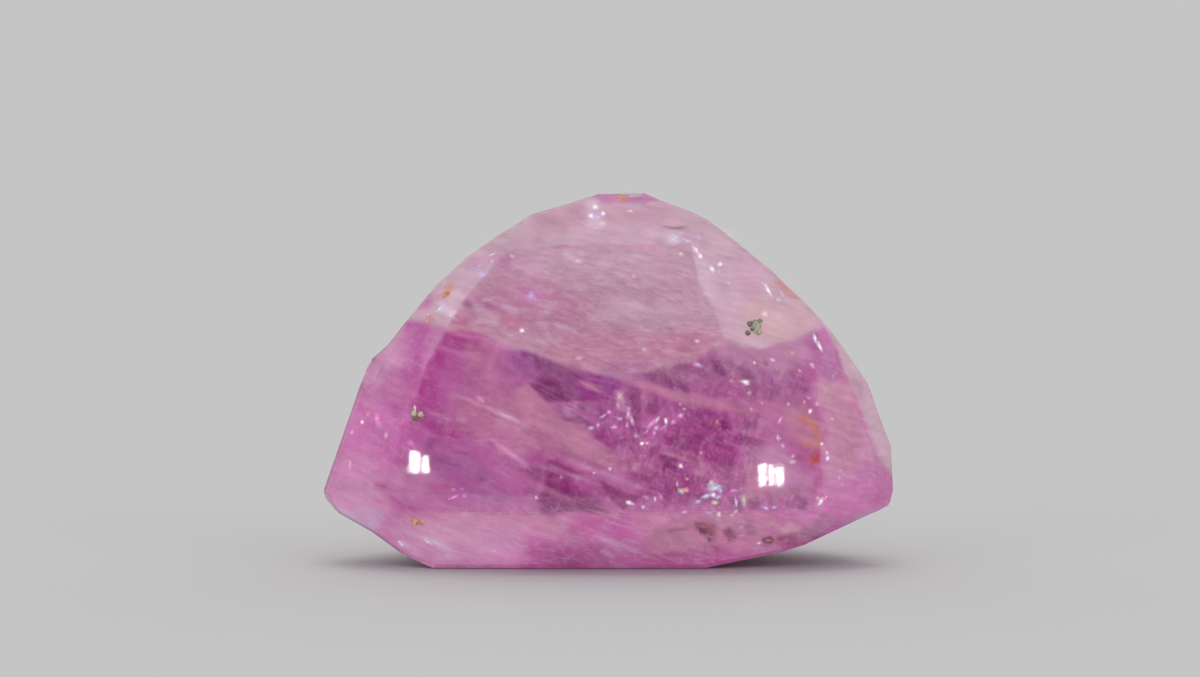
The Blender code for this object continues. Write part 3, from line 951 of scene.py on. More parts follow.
@dataclass
class FrontPattern:
    """The zones of colour that run through the crystal, as the front view shows them.

    Marks are laid one over another: each takes the colour under it part of the way to its own tint.
    """

    ground: Tint = Tint.MAGENTA
    marks: tuple = LEFT_BEVEL + BOTTOM_BEVEL + RIGHT_SIDE + LOWER_WINDOW + PALE_TOP
    slow_cell: float = 24.0
    quick_cell: float = 7.0
    # Slope, run, cross and seed of each drawn noise of the grain
    steep_grain: tuple = (24.0, 40.0, 5.0, 201)
    fine_grain: tuple = (20.0, 22.0, 3.0, 211)
    level_grain: tuple = (9.0, 34.0, 3.6, 221)
    grain_cloud: float = 11.0
    # How deep the streaks, the fine streaks and the clouds of the grain are
    grain_depths: tuple = (0.07, 0.065, 0.06)
    waver: float = 3.0
    waver_cell: float = 60.0
    broad_softness: float = 7.0
    pale_ends_down: float = 330.0
    pale_fades_over: float = 20.0

    def moved(self, across: Array, down: Array, edge: Edge, seed: int) -> tuple[Array, Array]:
        """Shifts points by slow and quick noise, so that outlines turn ragged.

        Args:
            across, down: the points.
            edge: how far they are shifted.
            seed: another seed gives other shifts.

        Returns:
            The shifted points.
        """
        slow, quick = edge.value
        found = []
        for number, value in enumerate((across, down)):
            shift = slow * lattice_noise(across, down, self.slow_cell, seed + number)
            shift = shift + quick * lattice_noise(across, down, self.quick_cell, seed + 10 + number)
            found.append(value + shift)
        return found[0], found[1]

    def drawn_noise(
        self, across: Array, down: Array, slope: float, run: float, cross: float, seed: int
    ) -> Array:
        """Noise that is drawn out along one slope.

        Args:
            across, down: the points.
            slope: degrees that it falls to the right.
            run, cross: the size of a cell along and across the slope.
            seed: another seed gives another noise.

        Returns:
            Noise from -1 to 1.
        """
        turn = math.radians(slope)
        along = across * math.cos(turn) + down * math.sin(turn)
        over = down * math.cos(turn) - across * math.sin(turn)
        over = over + self.waver * lattice_noise(along, over, self.waver_cell, seed + 5)
        return lattice_noise(along * cross / run, over, cross, seed)

    def is_broad(self, mark: Patch | Thread) -> bool:
        """Whether a mark is a zone that runs right through the crystal."""
        return isinstance(mark, Patch) and (mark.strength == 1.0 or mark.softness > self.broad_softness)

    def colours(self, across: Array, down: Array, crown: Array, front: Array) -> Array:
        """The crystal's colour at each point.

        Args:
            across, down: the points, in picture steps.
            crown: 1 on the bevels round the window.
            front: 1 where the skin faces the eye, and less on the sides, where small marks fade.

        Returns:
            Rows of linear red, green and blue, as they look in even light.
        """
        shares = {Face.ALL: 1.0, Face.CROWN: crown, Face.WINDOW: 1.0 - crown}
        places = {edge: self.moved(across, down, edge, 30 + 40 * n) for n, edge in enumerate(Edge)}
        colour = np.tile(np.array(screen_colour(*self.ground.value)), (len(across), 1))
        for mark in self.marks:
            share = mark.mask(*places[mark.edge]) * shares[mark.face]
            share = (share if self.is_broad(mark) else share * front)[:, None]
            colour = colour + share * (np.array(screen_colour(*mark.tint.value)) - colour)
        return colour * self.grain(across, down)[:, None]

    def grain(self, across: Array, down: Array) -> Array:
        """Fine streaky light and dark over all the zones.

        Args:
            across, down: the points.

        Returns:
            A factor near 1.
        """
        steep = self.drawn_noise(across, down, *self.steep_grain)
        fine = self.drawn_noise(across, down, *self.fine_grain)
        level = self.drawn_noise(across, down, *self.level_grain)
        pale = smooth_step((self.pale_ends_down - down) / self.pale_fades_over)
        streaks = (1.0 - pale) * steep + pale * level
        clouds = lattice_noise(across, down, self.grain_cloud, 231)
        streak_depth, fine_depth, cloud_depth = self.grain_depths
        return 1.0 + streak_depth * streaks + fine_depth * fine + cloud_depth * clouds


# The stone's shell


@dataclass(frozen=True)
class SapphireFinish:
    """Clear pink crystal full of milky zones: polished in front, matt behind.

    The zones' colours come in as painted tones. The light that the front gets and the haze of its
    reflections are taken out of them, so that they look as painted.
    """

    light: Colour = (0.785, 0.735, 0.76)
    pale_thread: Colour = (0.90, 0.70, 0.82)
    dark_thread: Colour = (0.42, 0.14, 0.30)
    deep_tone: Colour = (0.24, 0.028, 0.17)
    frost: Colour = (0.86, 0.60, 0.75)
    stain: Colour = (0.46, 0.20, 0.17)
    rim: Colour = (0.34, 0.14, 0.30)
    transmission: float = 0.4
    ior: float = 1.77
    absorption: Colour = (0.98, 0.45, 0.85)
    density: float = 120.0
    # What a face that looks up, down or aside loses of the light, and the haze that it mirrors
    light_lost: tuple = (0.10, 0.46, 0.25)
    haze: tuple = (0.11, 0.045, 0.10)
    haze_offset: float = 0.015
    least_haze: float = 0.006
    tone_range: tuple = (0.006, 0.96)
    polish: float = 0.03
    crown_roughness: float = 0.05
    back_roughness: float = 0.28
    speck_roughness: float = 0.08
    back_relief: float = 0.9
    front_relief: float = 0.015

    def paint_tones(self, colours: Array, normals: Array) -> Array:
        """Base colours that look as the given ones do: the haze taken off, divided by the light.

        A face that looks up mirrors more haze. One that looks down or aside gets less light.

        Args:
            colours: rows of linear red, green and blue.
            normals: the way that the skin faces at each.

        Returns:
            Rows of the same.
        """
        aside = np.abs(normals[:, :1])
        up = np.clip(normals[:, 2:], 0.0, 1.0)
        under = np.clip(-normals[:, 2:], 0.0, 1.0)
        lost_up, lost_under, lost_aside = self.light_lost
        light = 1.0 - lost_up * up - lost_under * under - lost_aside * aside
        haze_up, haze_under, haze_aside = self.haze
        haze = haze_up * up + haze_under * under + haze_aside * aside - self.haze_offset
        haze = np.maximum(self.least_haze, haze)
        return np.clip((colours - haze) / (light * np.array(self.light)), *self.tone_range)

    def make(self) -> bpy.types.Material:
        """Wires the material.

        Returns:
            The material.
        """
        material, wiring, shader = new_material("polished_sapphire")
        place = wiring.place()
        tone = wiring.painted("tone")
        crown, back, rim = wiring.channels("faces")
        pale = tone.outputs["Alpha"]
        deep = wiring.sum("SUBTRACT", 1.0, pale)

        threads = wiring.silk(place, -22.0, (900.0, 1500.0, 7600.0), 0.50, 0.72)
        level_threads = wiring.silk(place, -8.0, (2700.0, 2400.0, 8200.0), 0.42, 0.74)
        dark_threads = wiring.silk(place, -15.0, (1300.0, 2000.0, 8500.0), 0.50, 0.68)
        specks = wiring.mottle(place, 3400.0, 0.38, 0.74)
        stains = wiring.mottle(place, 420.0, 0.54, 0.66)
        grit = wiring.mottle(place, 5200.0, 0.40, 0.58)
        on_window = wiring.spread(crown, 0.0, 1.0, 0.24, 0.10)
        on_specks = wiring.spread(specks, 0.0, 1.0, 0.26, 0.66)

        colour = tone.outputs["Color"]
        for factors, layer in (
            ((deep, threads, 0.09), self.pale_thread),
            ((pale, level_threads, on_window), self.pale_thread),
            ((dark_threads, 0.16), self.dark_thread),
            ((specks, 0.10), self.pale_thread),
            ((rim, 0.6), self.rim),
            ((back, on_specks), self.frost),
            ((stains, grit, back, 0.42), self.stain),
        ):
            colour = wiring.blend(wiring.times(*factors), colour, layer)
        colour = self.broken(wiring, place, colour)
        wiring.feed(shader.inputs["Base Color"], colour)

        on_crown, on_back = wiring.times(crown, self.crown_roughness), wiring.times(back, self.back_roughness)
        rough = wiring.sum("ADD", on_crown, on_back)
        rough = wiring.sum("ADD", rough, wiring.times(specks, crown, self.speck_roughness))
        wiring.feed(shader.inputs["Roughness"], wiring.sum("ADD", rough, self.polish))

        relief = wiring.sum("ADD", wiring.times(back, self.back_relief), self.front_relief)
        height = wiring.times(specks, relief)
        bump = wiring.add("ShaderNodeBump", Height=height, Strength=0.35, Distance=0.00006)
        wiring.feed(shader.inputs["Normal"], bump.outputs[0])
        shader.inputs["Transmission Weight"].default_value = self.transmission
        shader.inputs["IOR"].default_value = self.ior
        shader.inputs["Metallic"].default_value = 0.0

        tint = (*self.absorption, 1.0)
        depth = wiring.add("ShaderNodeVolumeAbsorption", Color=tint, Density=self.density)
        output = material.node_tree.nodes["Material Output"]
        wiring.feed(output.inputs["Volume"], depth.outputs[0])
        return material

    def broken(self, wiring: Wiring, place: bpy.types.NodeSocket, colour: object) -> bpy.types.NodeSocket:
        """Breaks the colour up by zone: columns and shards in the clear part, mottling in the bevels.

        Args:
            wiring: the material's wiring.
            place: the place on the stone.
            colour: the colour so far.

        Returns:
            The colour.
        """
        clear, mottled, layered = wiring.channels("zones")
        columns = wiring.silk(place, 4.0, (5600.0, 2400.0, 2500.0), 0.47, 0.60)
        light_columns = wiring.silk(place, -12.0, (6000.0, 2100.0, 1900.0), 0.52, 0.70)
        shards = wiring.mottle(place, 1500.0, 0.50, 0.56)
        flecks = wiring.mottle(place, 4200.0, 0.55, 0.66)
        clouds = wiring.mottle(place, 1100.0, 0.36, 0.64)
        streaks = wiring.silk(place, -20.0, (1100.0, 1400.0, 5600.0), 0.50, 0.66)
        wisps = wiring.silk(place, -14.0, (1500.0, 1500.0, 4200.0), 0.50, 0.68)
        layers = wiring.silk(place, -9.0, (2300.0, 2600.0, 14000.0), 0.46, 0.62)
        for mask, zone, weight, tone in (
            (columns, clear, 0.26, self.deep_tone),
            (shards, clear, 0.36, self.deep_tone),
            (light_columns, clear, 0.10, self.pale_thread),
            (flecks, clear, 0.12, self.pale_thread),
            (clouds, mottled, 0.16, self.dark_thread),
            (flecks, mottled, 0.20, self.pale_thread),
            (streaks, mottled, 0.22, self.pale_thread),
            (layers, layered, 0.13, self.dark_thread),
            (clouds, layered, 0.12, self.dark_thread),
            (wisps, layered, 0.24, self.pale_thread),
        ):
            colour = wiring.blend(wiring.times(mask, zone, weight), colour, tone)
        return colour


@dataclass
class StoneShell:
    """The stone's outer skin: the solid's own values and formulas, divided more finely."""

    # Girdle x, z and y, then window x and z, clockwise from the left tip
    corners: tuple = (
        (-8.99, 2.25, -1.30, -6.79, 2.47),
        (-7.63, 6.14, -1.20, -5.72, 6.34),
        (-7.41, 6.48, -1.15, -5.54, 6.65),
        (-6.94, 6.89, -1.10, -5.35, 7.02),
        (-6.43, 7.55, -1.10, -5.07, 7.52),
        (-5.42, 8.78, -1.05, -4.60, 8.32),
        (-4.98, 9.16, -1.05, -4.32, 8.69),
        (-4.41, 9.69, -1.00, -3.95, 9.09),
        (-3.40, 10.39, -1.00, -3.38, 9.74),
        (-2.39, 11.02, -0.95, -2.95, 10.02),
        (-1.39, 11.30, -0.95, -1.97, 10.09),
        (-0.32, 11.64, -0.90, -0.57, 10.09),
        (1.13, 11.68, -0.90, 1.00, 10.09),
        (1.63, 11.46, -0.95, 1.47, 10.09),
        (2.64, 11.09, -1.10, 2.25, 10.12),
        (3.20, 10.83, -1.40, 2.59, 10.11),
        (4.14, 10.10, -1.75, 2.87, 8.89),
        (5.14, 9.30, -1.95, 3.28, 8.25),
        (5.64, 8.80, -1.98, 3.62, 7.30),
        (6.15, 8.33, -1.95, 4.71, 6.91),
        (6.72, 7.72, -1.85, 6.38, 7.43),
        (7.23, 7.10, -1.65, 6.48, 6.81),
        (8.19, 5.68, -1.40, 6.56, 5.49),
        (8.57, 4.60, -1.30, 6.59, 4.71),
        (8.92, 3.70, -1.25, 6.62, 3.94),
        (8.99, 2.32, -1.35, 6.69, 2.54),
        (8.86, 1.81, -1.40, 6.56, 2.07),
        (8.19, 1.55, -1.60, 6.18, 1.93),
        (6.16, 0.66, -2.10, 5.05, 1.90),
        (5.50, 0.46, -2.20, 4.42, 1.91),
        (3.04, 0.00, -2.60, 2.55, 1.95),
        (-5.50, 0.00, -2.60, -4.93, 1.90),
        (-6.42, 0.35, -2.15, -5.72, 1.94),
        (-7.44, 1.03, -1.70, -6.35, 2.11),
        (-8.45, 1.57, -1.45, -6.63, 2.26),
        (-8.96, 2.00, -1.32, -6.76, 2.38),
    )
    front_y: float = -4.2
    dome_radius: float = 24.0
    dome_x: float = 0.0
    dome_z: float = 1.0
    window_middle: tuple = (0.5, 4.2)
    shoulder_share: float = 0.07
    shoulder_share_right: float = 0.24
    shoulder_right_from_x: float = 7.0
    shoulder_drop: float = 0.28
    side_taper: float = 0.90
    side_end_y: float = 4.6
    middle: tuple = (0.0, 0.0, 5.2)
    # A point on each natural face of the back, the way it faces, and its unevenness
    natural_faces: tuple = (
        ((-3.60, 2.60, 8.20), (-0.42, 0.72, 0.55), 0.07),
        ((3.60, 2.40, 8.00), (0.50, 0.66, 0.56), 0.06),
        ((7.00, 1.60, 4.00), (0.72, 0.69, 0.05), 0.06),
        ((-6.60, 1.70, 4.40), (-0.68, 0.73, 0.05), 0.07),
        ((0.00, 2.90, 1.20), (0.05, 0.80, -0.60), 0.06),
        ((5.50, 2.00, 1.40), (0.50, 0.72, -0.48), 0.05),
        ((-5.20, 2.20, 1.50), (-0.42, 0.70, -0.58), 0.06),
        ((0.20, 1.60, 11.00), (0.03, 0.62, 0.78), 0.05),
    )
    face_half_size: float = 7.0
    face_waves: tuple = ((0.10, 0.55), (0.23, 0.30), (0.47, 0.15))
    ledged_face: tuple = ((0.80, 3.88, 4.80), (0.10, 0.985, 0.12))
    ledge_turn: float = math.radians(34.0)
    ledges: tuple = ((-3.1, 0.30), (-1.7, 0.22), (-0.7, 0.16), (1.9, 0.20), (3.2, 0.34))
    ledge_top: float = 0.4
    ledge_waver: float = 0.30
    ledge_slope: float = 0.10
    # Skin x, y and z, radius and depth of each shell-like break
    breaks: tuple = (
        (-7.60, -1.10, 6.35, 1.60, 0.10),
        (-5.62, -1.00, 8.62, 1.10, 0.08),
        (-3.42, -0.95, 10.42, 1.50, 0.08),
        (0.75, -0.85, 11.68, 0.90, 0.08),
        (7.45, -1.55, 6.92, 1.30, 0.07),
        (9.00, -0.60, 3.20, 1.30, 0.03),
        (8.75, -1.35, 1.70, 1.10, 0.06),
        (-9.00, -1.20, 2.20, 1.20, 0.05),
        (-5.30, 2.60, 6.60, 4.20, 0.55),
        (5.30, 2.50, 6.40, 3.40, 0.60),
        (2.90, 3.20, 2.30, 2.90, 0.50),
        (-1.70, 1.90, 10.30, 2.60, 0.40),
        (-7.40, 0.90, 2.50, 2.60, 0.35),
        (8.10, 0.50, 3.60, 2.80, 0.30),
        (-2.60, 3.30, 2.60, 2.20, 0.35),
    )
    ripple_height: float = 0.012
    ripple_length: float = 0.42
    break_unevenness: float = 0.10
    # X and z, y of the skin, width and depth of each etch pit
    pits: tuple = (
        (1.30, 5.30, 3.78, 0.90, 0.16),
        (0.10, 4.30, 3.96, 0.60, 0.12),
        (2.60, 6.40, 3.52, 0.50, 0.12),
        (-0.60, 5.90, 3.86, 0.55, 0.12),
    )
    pit_turn: float = math.radians(8.0)
    points_per_mm: float = 10.0
    window_row_count: int = 78
    band_rows: tuple = (24, 4, 12)
    end_row_count: int = 3
    face_cells: int = 90
    break_cells: int = 44
    crisp_edge: float = math.radians(14.0)
    riser_half_width: float = 0.04
    back_starts_behind: float = 0.03
    crown_softness: float = 0.06
    rim_reach: float = 0.06
    rim_ends_x: float = -6.5
    front_from: float = 0.12
    front_over: float = 0.22
    finish: SapphireFinish = field(default_factory=SapphireFinish)

    def dome_y(self, x: Array, z: Array) -> Array:
        """Depth of the domed window: part of a sphere whose foremost point is low on the stone."""
        out = (x - self.dome_x) ** 2 + (z - self.dome_z) ** 2
        return self.front_y + self.dome_radius - np.sqrt(self.dome_radius**2 - out)

    def rings(self) -> tuple[Array, Array, Array, Array]:
        """The window's edge, the shoulder, the girdle and the sides' far end, one row a corner."""
        girdle_x, girdle_z, girdle_y, window_x, window_z = np.array(self.corners).T
        window = np.stack([window_x, self.dome_y(window_x, window_z), window_z], axis=1)
        girdle = np.stack([girdle_x, girdle_y, girdle_z], axis=1)
        wide = self.shoulder_share_right / self.shoulder_share
        right = np.where(girdle_x > self.shoulder_right_from_x, wide, 1.0)[:, None]
        shoulder = girdle + self.shoulder_share * right * (window - girdle)
        shoulder[:, 1] -= self.shoulder_drop * right[:, 0] / wide
        middle_x, _, middle_z = self.middle
        end_x = middle_x + self.side_taper * (girdle_x - middle_x)
        end_z = middle_z + self.side_taper * (girdle_z - middle_z)
        end_z = np.where(girdle_z == 0.0, 0.0, end_z)
        end = np.stack([end_x, np.full_like(end_x, self.side_end_y), end_z], axis=1)
        return window, shoulder, girdle, end

    @staticmethod
    def along(ring: Array, counts: Array) -> Array:
        """The ring's points, with each straight edge divided into its count.

        Args:
            ring: its corners.
            counts: how many points each edge gets.

        Returns:
            All its points.
        """
        following = np.roll(ring, -1, axis=0)
        stretches = [
            start + np.linspace(0.0, 1.0, count, endpoint=False)[:, None] * (end - start)
            for start, end, count in zip(ring, following, counts)
        ]
        return np.concatenate(stretches)

    def rows(self) -> tuple[Array, list[Array], Array]:
        """The skin before it is cut, as rows of points from ring to ring.

        Returns:
            The front's middle, every row from there back, and the back's middle.
        """
        rings = self.rings()
        lengths = np.linalg.norm(np.roll(rings[2], -1, axis=0) - rings[2], axis=1)
        counts = np.maximum(1, np.round(lengths * self.points_per_mm)).astype(int)
        rings = [self.along(ring, counts) for ring in rings]
        rings[0][:, 1] = self.dome_y(rings[0][:, 0], rings[0][:, 2])
        front = np.array([self.window_middle[0], 0.0, self.window_middle[1]])
        rows = []
        for share in np.arange(1, self.window_row_count) / self.window_row_count:
            row = front + share * (rings[0] - front)
            row[:, 1] = self.dome_y(row[:, 0], row[:, 2])
            rows.append(row)
        front[1] = self.dome_y(front[0], front[2])
        for start, end, count in zip(rings, rings[1:], self.band_rows):
            shares = np.linspace(0.0, 1.0, count, endpoint=False)
            rows += [start + share * (end - start) for share in shares]
        back = np.array([self.middle[0], self.side_end_y, self.middle[2]])
        shares = np.linspace(0.0, 1.0, self.end_row_count, endpoint=False)
        rows += [rings[-1] + share * (back - rings[-1]) for share in shares]
        return front, rows, back

    @staticmethod
    def skin_faces(rows: int, across: int) -> list:
        """Four-sided faces between neighbouring rows, and a fan at each end.

        Args:
            rows: how many rows there are.
            across: how many points a row has.

        Returns:
            The corner numbers of each face.
        """
        i = np.arange(across)
        j = (i + 1) % across
        last = rows * across + 1
        fans = [(0, 1 + b, 1 + a) for a, b in zip(i, j)]
        fans += [(last, last - across + a, last - across + b) for a, b in zip(i, j)]
        near = (1 + np.arange(rows - 1) * across)[:, None]
        quads = np.stack([near + i, near + j, near + across + j, near + across + i], axis=-1)
        return fans + quads.reshape(-1, 4).tolist()

    @staticmethod
    def brick(u: Array, v: Array, height: Array, thickness: float) -> tuple[Array, list]:
        """A closed block over a grid: its underside is the height, and all above it is removed.

        Args:
            u, v: the grid.
            height: the underside over the grid.
            thickness: where the block ends above.

        Returns:
            Its points and faces.
        """
        near = np.stack([u, v, height], axis=-1).reshape(-1, 3)
        far = np.stack([u, v, np.full_like(height, thickness)], axis=-1).reshape(-1, 3)
        index = np.arange(u.size).reshape(u.shape)
        cells = grid_cells(u.shape)
        count = u.size
        rim = np.concatenate([index[0, :-1], index[:-1, -1], index[-1, :0:-1], index[:0:-1, 0]])
        ahead = np.roll(rim, -1)
        walls = np.stack([rim, rim + count, ahead + count, ahead], axis=-1)
        faces = np.concatenate([cells, cells[:, ::-1] + count, walls])
        return np.concatenate([near, far]), faces.tolist()

    def unevenness(self, u: Array, v: Array, height: float, seed: float) -> Array:
        """Slow waves in both directions, which differ from one seed to the next.

        Args:
            u, v: the grid.
            height: the waves' height.
            seed: which waves.

        Returns:
            The height over the grid.
        """
        total = np.zeros_like(u)
        for rate, share in self.face_waves:
            turn = 1.7 * seed + 11.0 * rate
            run = u * np.cos(turn) + v * np.sin(turn)
            cross = v * np.cos(turn) - u * np.sin(turn)
            total += share * np.sin(2 * np.pi * rate * run + seed) * np.cos(5.3 * rate * cross + turn)
        return height * total

    @staticmethod
    def grid(half_size: float, cells: int) -> tuple[Array, Array]:
        """u and v over a square."""
        steps = np.linspace(-half_size, half_size, cells + 1)
        return np.meshgrid(steps, steps, indexing="ij")

    @staticmethod
    def facing(point: Sequence[float], direction: Sequence[float]) -> Matrix:
        """Local Z along the direction, at a point in millimetres."""
        turn = Vector(direction).normalized().to_track_quat("Z", "Y").to_matrix().to_4x4()
        return Matrix.Translation(Vector(point) * MM) @ turn

    def cutters(self) -> bpy.types.Collection:
        """All that is cut from the stone.

        Returns:
            A collection of closed blocks.
        """
        cutters = bpy.data.collections.new("cutters")
        bpy.context.scene.collection.children.link(cutters)
        blocks = [self.natural_face(index) for index in range(len(self.natural_faces))]
        blocks.append(self.ledged_block())
        blocks += [self.break_block(index) for index in range(len(self.breaks))]
        blocks += [self.pit_block(pit) for pit in self.pits]
        for number, (points, faces, place) in enumerate(blocks):
            mesh = bpy.data.meshes.new(f"cutter_{number}")
            mesh.from_pydata((np.asarray(points) * MM).tolist(), [], faces)
            cutter = bpy.data.objects.new(f"cutter_{number}", mesh)
            cutter.matrix_world = place
            cutters.objects.link(cutter)
        return cutters

    def natural_face(self, index: int) -> tuple:
        """Points, faces and place of one broad, slightly uneven face of the back."""
        point, direction, height = self.natural_faces[index]
        u, v = self.grid(self.face_half_size, self.face_cells)
        points, faces = self.brick(u, v, self.unevenness(u, v, height, index + 1.0), self.face_half_size)
        return points, faces, self.facing(point, direction)

    def ledged_block(self) -> tuple:
        """Points, faces and place of the rearmost face: leaning treads with steep, wavering risers."""
        size = self.face_half_size
        edges = [-size]
        heights = [self.ledge_top - sum(drop for at, drop in self.ledges if at < 0.0)]
        for at, drop in self.ledges:
            edges += [at - self.riser_half_width, at + self.riser_half_width]
            level = heights[-1]
            heights += [level, level + drop if at < 0.0 else level - drop]
        edges.append(size)
        heights.append(heights[-1])
        steps = np.unique(np.concatenate([np.linspace(-size, size, self.face_cells), edges]))
        u, v = np.meshgrid(steps, np.linspace(-size, size, self.face_cells + 1), indexing="ij")
        height = np.interp(u, edges, heights) - self.ledge_top
        height += self.ledge_slope * np.abs(u - 0.6) * 0.2 + self.unevenness(u, v, 0.03, 9.0)
        wavering = u + self.ledge_waver * np.sin(0.9 * v + 0.7) + 0.4 * self.ledge_waver * np.sin(2.3 * v)
        points, faces = self.brick(wavering, v, height, size)
        place = self.facing(*self.ledged_face) @ Matrix.Rotation(self.ledge_turn, 4, "Z")
        return points, faces, place

    def break_block(self, index: int) -> tuple:
        """Points, faces and place of a shallow hollow with faint ripples round where it was struck."""
        *skin, radius, depth = self.breaks[index]
        reach = 1.5 * np.sqrt(2.0 * radius * depth)
        u, v = self.grid(reach, self.break_cells)
        struck = np.hypot(u - 0.7 * reach, v - 0.2 * reach)
        bowl = (u**2 + 0.8 * v**2 + 0.2 * u * v) / (2.0 * radius) - depth
        ripple = self.ripple_height * np.sin(2 * np.pi * struck / self.ripple_length)
        height = bowl + ripple + self.break_unevenness * depth * np.sin(2.1 * u / reach * np.pi + index)
        points, faces = self.brick(u, v, height, max(2.0 * reach, 1.0))
        outward = (np.array(skin) - self.middle) / np.array([9.0, 3.6, 6.0]) ** 2
        return points, faces, self.facing(skin, outward)

    def pit_block(self, pit: tuple) -> tuple:
        """Points, faces and place of a three-sided point that sinks into the back."""
        x, z, y, width, depth = pit
        reach = depth + 0.6
        radius = width / 2 * reach / depth
        turns = self.pit_turn + np.radians([90.0, 210.0, 330.0])
        rim = np.stack([radius * np.cos(turns), radius * np.sin(turns), np.full(3, reach)], axis=1)
        points = np.concatenate([rim, np.zeros((1, 3))])
        faces = [(0, 1, 2), (1, 0, 3), (2, 1, 3), (0, 2, 3)]
        return points, faces, self.facing((x, y - depth, z), (0, 1, 0))

    def build(self) -> bpy.types.Object:
        """Makes the skin, cuts the natural back from it, and keeps the result as one mesh.

        Returns:
            The shell.
        """
        front, rows, back = self.rows()
        points = np.concatenate([front[None], *rows, back[None]])
        blank = new_object("blank", points, self.skin_faces(len(rows), len(rows[0])))
        cutters = self.cutters()
        cut = blank.modifiers.new("natural_back", "BOOLEAN")
        cut.operation = "DIFFERENCE"
        cut.operand_type = "COLLECTION"
        cut.collection = cutters
        cut.solver = "MANIFOLD"
        graph = bpy.context.evaluated_depsgraph_get()
        mesh = bpy.data.meshes.new_from_object(blank.evaluated_get(graph))
        for helper in [*cutters.objects, blank]:
            bpy.data.objects.remove(helper)
        bpy.data.collections.remove(cutters)
        mesh.name = "sapphire_shell"
        mesh.shade_smooth()
        mesh.set_sharp_from_angle(angle=self.crisp_edge)
        shell = bpy.data.objects.new("sapphire_shell", mesh)
        bpy.context.scene.collection.objects.link(shell)
        return shell

    def sides(self, points: Array) -> tuple[Array, Array, Array]:
        """Which part of the stone each point is on.

        Args:
            points: rows in millimetres.

        Returns:
            1 on the crown; 1 on the natural back; distance to the girdle.
        """
        window, _, girdle, _ = self.rings()
        x, y, z = points.T
        to_window, _, _ = edge_distance(x, z, window[:, [0, 2]])
        to_girdle, side, share = edge_distance(x, z, girdle[:, [0, 2]])
        near_y = girdle[side, 1] + share * (np.roll(girdle[:, 1], -1)[side] - girdle[side, 1])
        back = (y > near_y + self.back_starts_behind).astype(float)
        crown = (1.0 - back) * smooth_step(to_window / self.crown_softness + 0.5)
        return crown, back, np.abs(to_girdle)

    def dress(self, shell: bpy.types.Object, pattern: FrontPattern) -> None:
        """Paints the zones onto the shell and gives it its finish.

        Args:
            shell: the shell.
            pattern: the zones of colour.
        """
        mesh = shell.data
        points = np.empty(len(mesh.vertices) * 3, np.float32)
        mesh.vertices.foreach_get("co", points)
        points = points.reshape(-1, 3).astype(float) / MM
        across, down = VIEW.see(points)
        crown, back, to_girdle = self.sides(points)
        normals = np.empty(len(mesh.vertices) * 3, np.float32)
        mesh.vertex_normals.foreach_get("vector", normals)
        normals = normals.reshape(-1, 3).astype(float)
        front = smooth_step((-normals[:, 1] - self.front_from) / self.front_over)
        colours = pattern.colours(across, down, crown + back, front)
        tone = self.finish.paint_tones(colours, normals * (1.0 - back)[:, None])
        pale = together([mark for mark in pattern.marks if mark.tint is Tint.MAUVE], across, down)
        paint(mesh, "tone", np.column_stack([tone, pale]))
        zones = [together(marks, across, down) for marks in (CLEAR_ZONES, MOTTLED_ZONES, LAYERED_ZONES)]
        paint(mesh, "zones", np.column_stack([*zones, np.ones(len(pale))]))
        rim = (1.0 - back) * np.exp(-((to_girdle / self.rim_reach) ** 2))
        rim = rim * (points[:, 0] < self.rim_ends_x)
        paint(mesh, "faces", np.column_stack([crown, back, rim, np.ones(len(rim))]))
        mesh.materials.clear()
        mesh.materials.append(self.finish.make())


# What lies in the skin and under it


class SkinPiece:
    """Many small things of one kind in the skin or under it, made as one piece."""

    name: str
    finish: object

    def shape(self, skin: BVHTree) -> tuple[list, list, dict]:
        """Finds the place of each thing and shapes it.

        Args:
            skin: the shell, to find places on.

        Returns:
            Rows of points, faces, and what is painted on the points, by its name.
        """
        raise NotImplementedError

    def build(self, skin: BVHTree) -> bpy.types.Object:
        """Makes the piece and gives it its finish.

        Args:
            skin: the shell, to find places on.

        Returns:
            The piece.
        """
        points, faces, layers = self.shape(skin)
        piece = new_object(self.name, np.concatenate(points), faces)
        for name, values in layers.items():
            paint(piece.data, name, np.concatenate(values))
        piece.data.materials.append(self.finish.make())
        return piece


@dataclass(frozen=True)
class GlintFinish:
    """Painted glints: small flakes that glow in their own tint as painted highlights, soft at their rims."""

    glow: float = 0.25
    ripple_tone: Colour = (0.95, 0.9, 1.0)

    def make(self) -> bpy.types.Material:
        """Wires the material: tone and clearness come from the flakes, with fine ripples on them, and the
        tone also glows as a painted glint.
        """
        material, wiring, shader = new_material("bright_flakes")
        tone = wiring.painted("tone")
        ripples = wiring.mottle(wiring.place(), 9000.0, 0.3, 0.7)
        colour = wiring.blend(wiring.times(ripples, 0.25), tone.outputs["Color"], self.ripple_tone)
        wiring.feed(shader.inputs["Base Color"], colour)
        # Painted glint: the flake's tint glows as emission, though the flake is no lamp.
        wiring.feed(shader.inputs["Emission Color"], colour)
        wiring.feed(shader.inputs["Alpha"], tone.outputs["Alpha"])
        shader.inputs["Emission Strength"].default_value = self.glow
        shader.inputs["Roughness"].default_value = 0.25
        return material


class Glint(Enum):
    """The colours of the painted glints that flakes flash in."""

    WHITE = (255, 246, 252)
    BLUSH = (255, 222, 238)
    MAGENTA = (250, 150, 232)
    HOT_PINK = (240, 120, 215)
    LAVENDER = (214, 190, 248)
    BLUE = (160, 176, 252)
    ICE = (205, 224, 246)
    MINT = (205, 226, 196)
    SALMON = (246, 166, 140)
    CREAM = (240, 226, 196)
    VIOLET = (190, 96, 214)


@dataclass(frozen=True)
class Flake:
    """One painted glint: where it is, its half length and half width in picture steps, and its turn."""

    glint: Glint
    across: float
    down: float
    length: float = 2.6
    width: float = 2.2
    turn: float = 0.0
    strength: float = 0.95


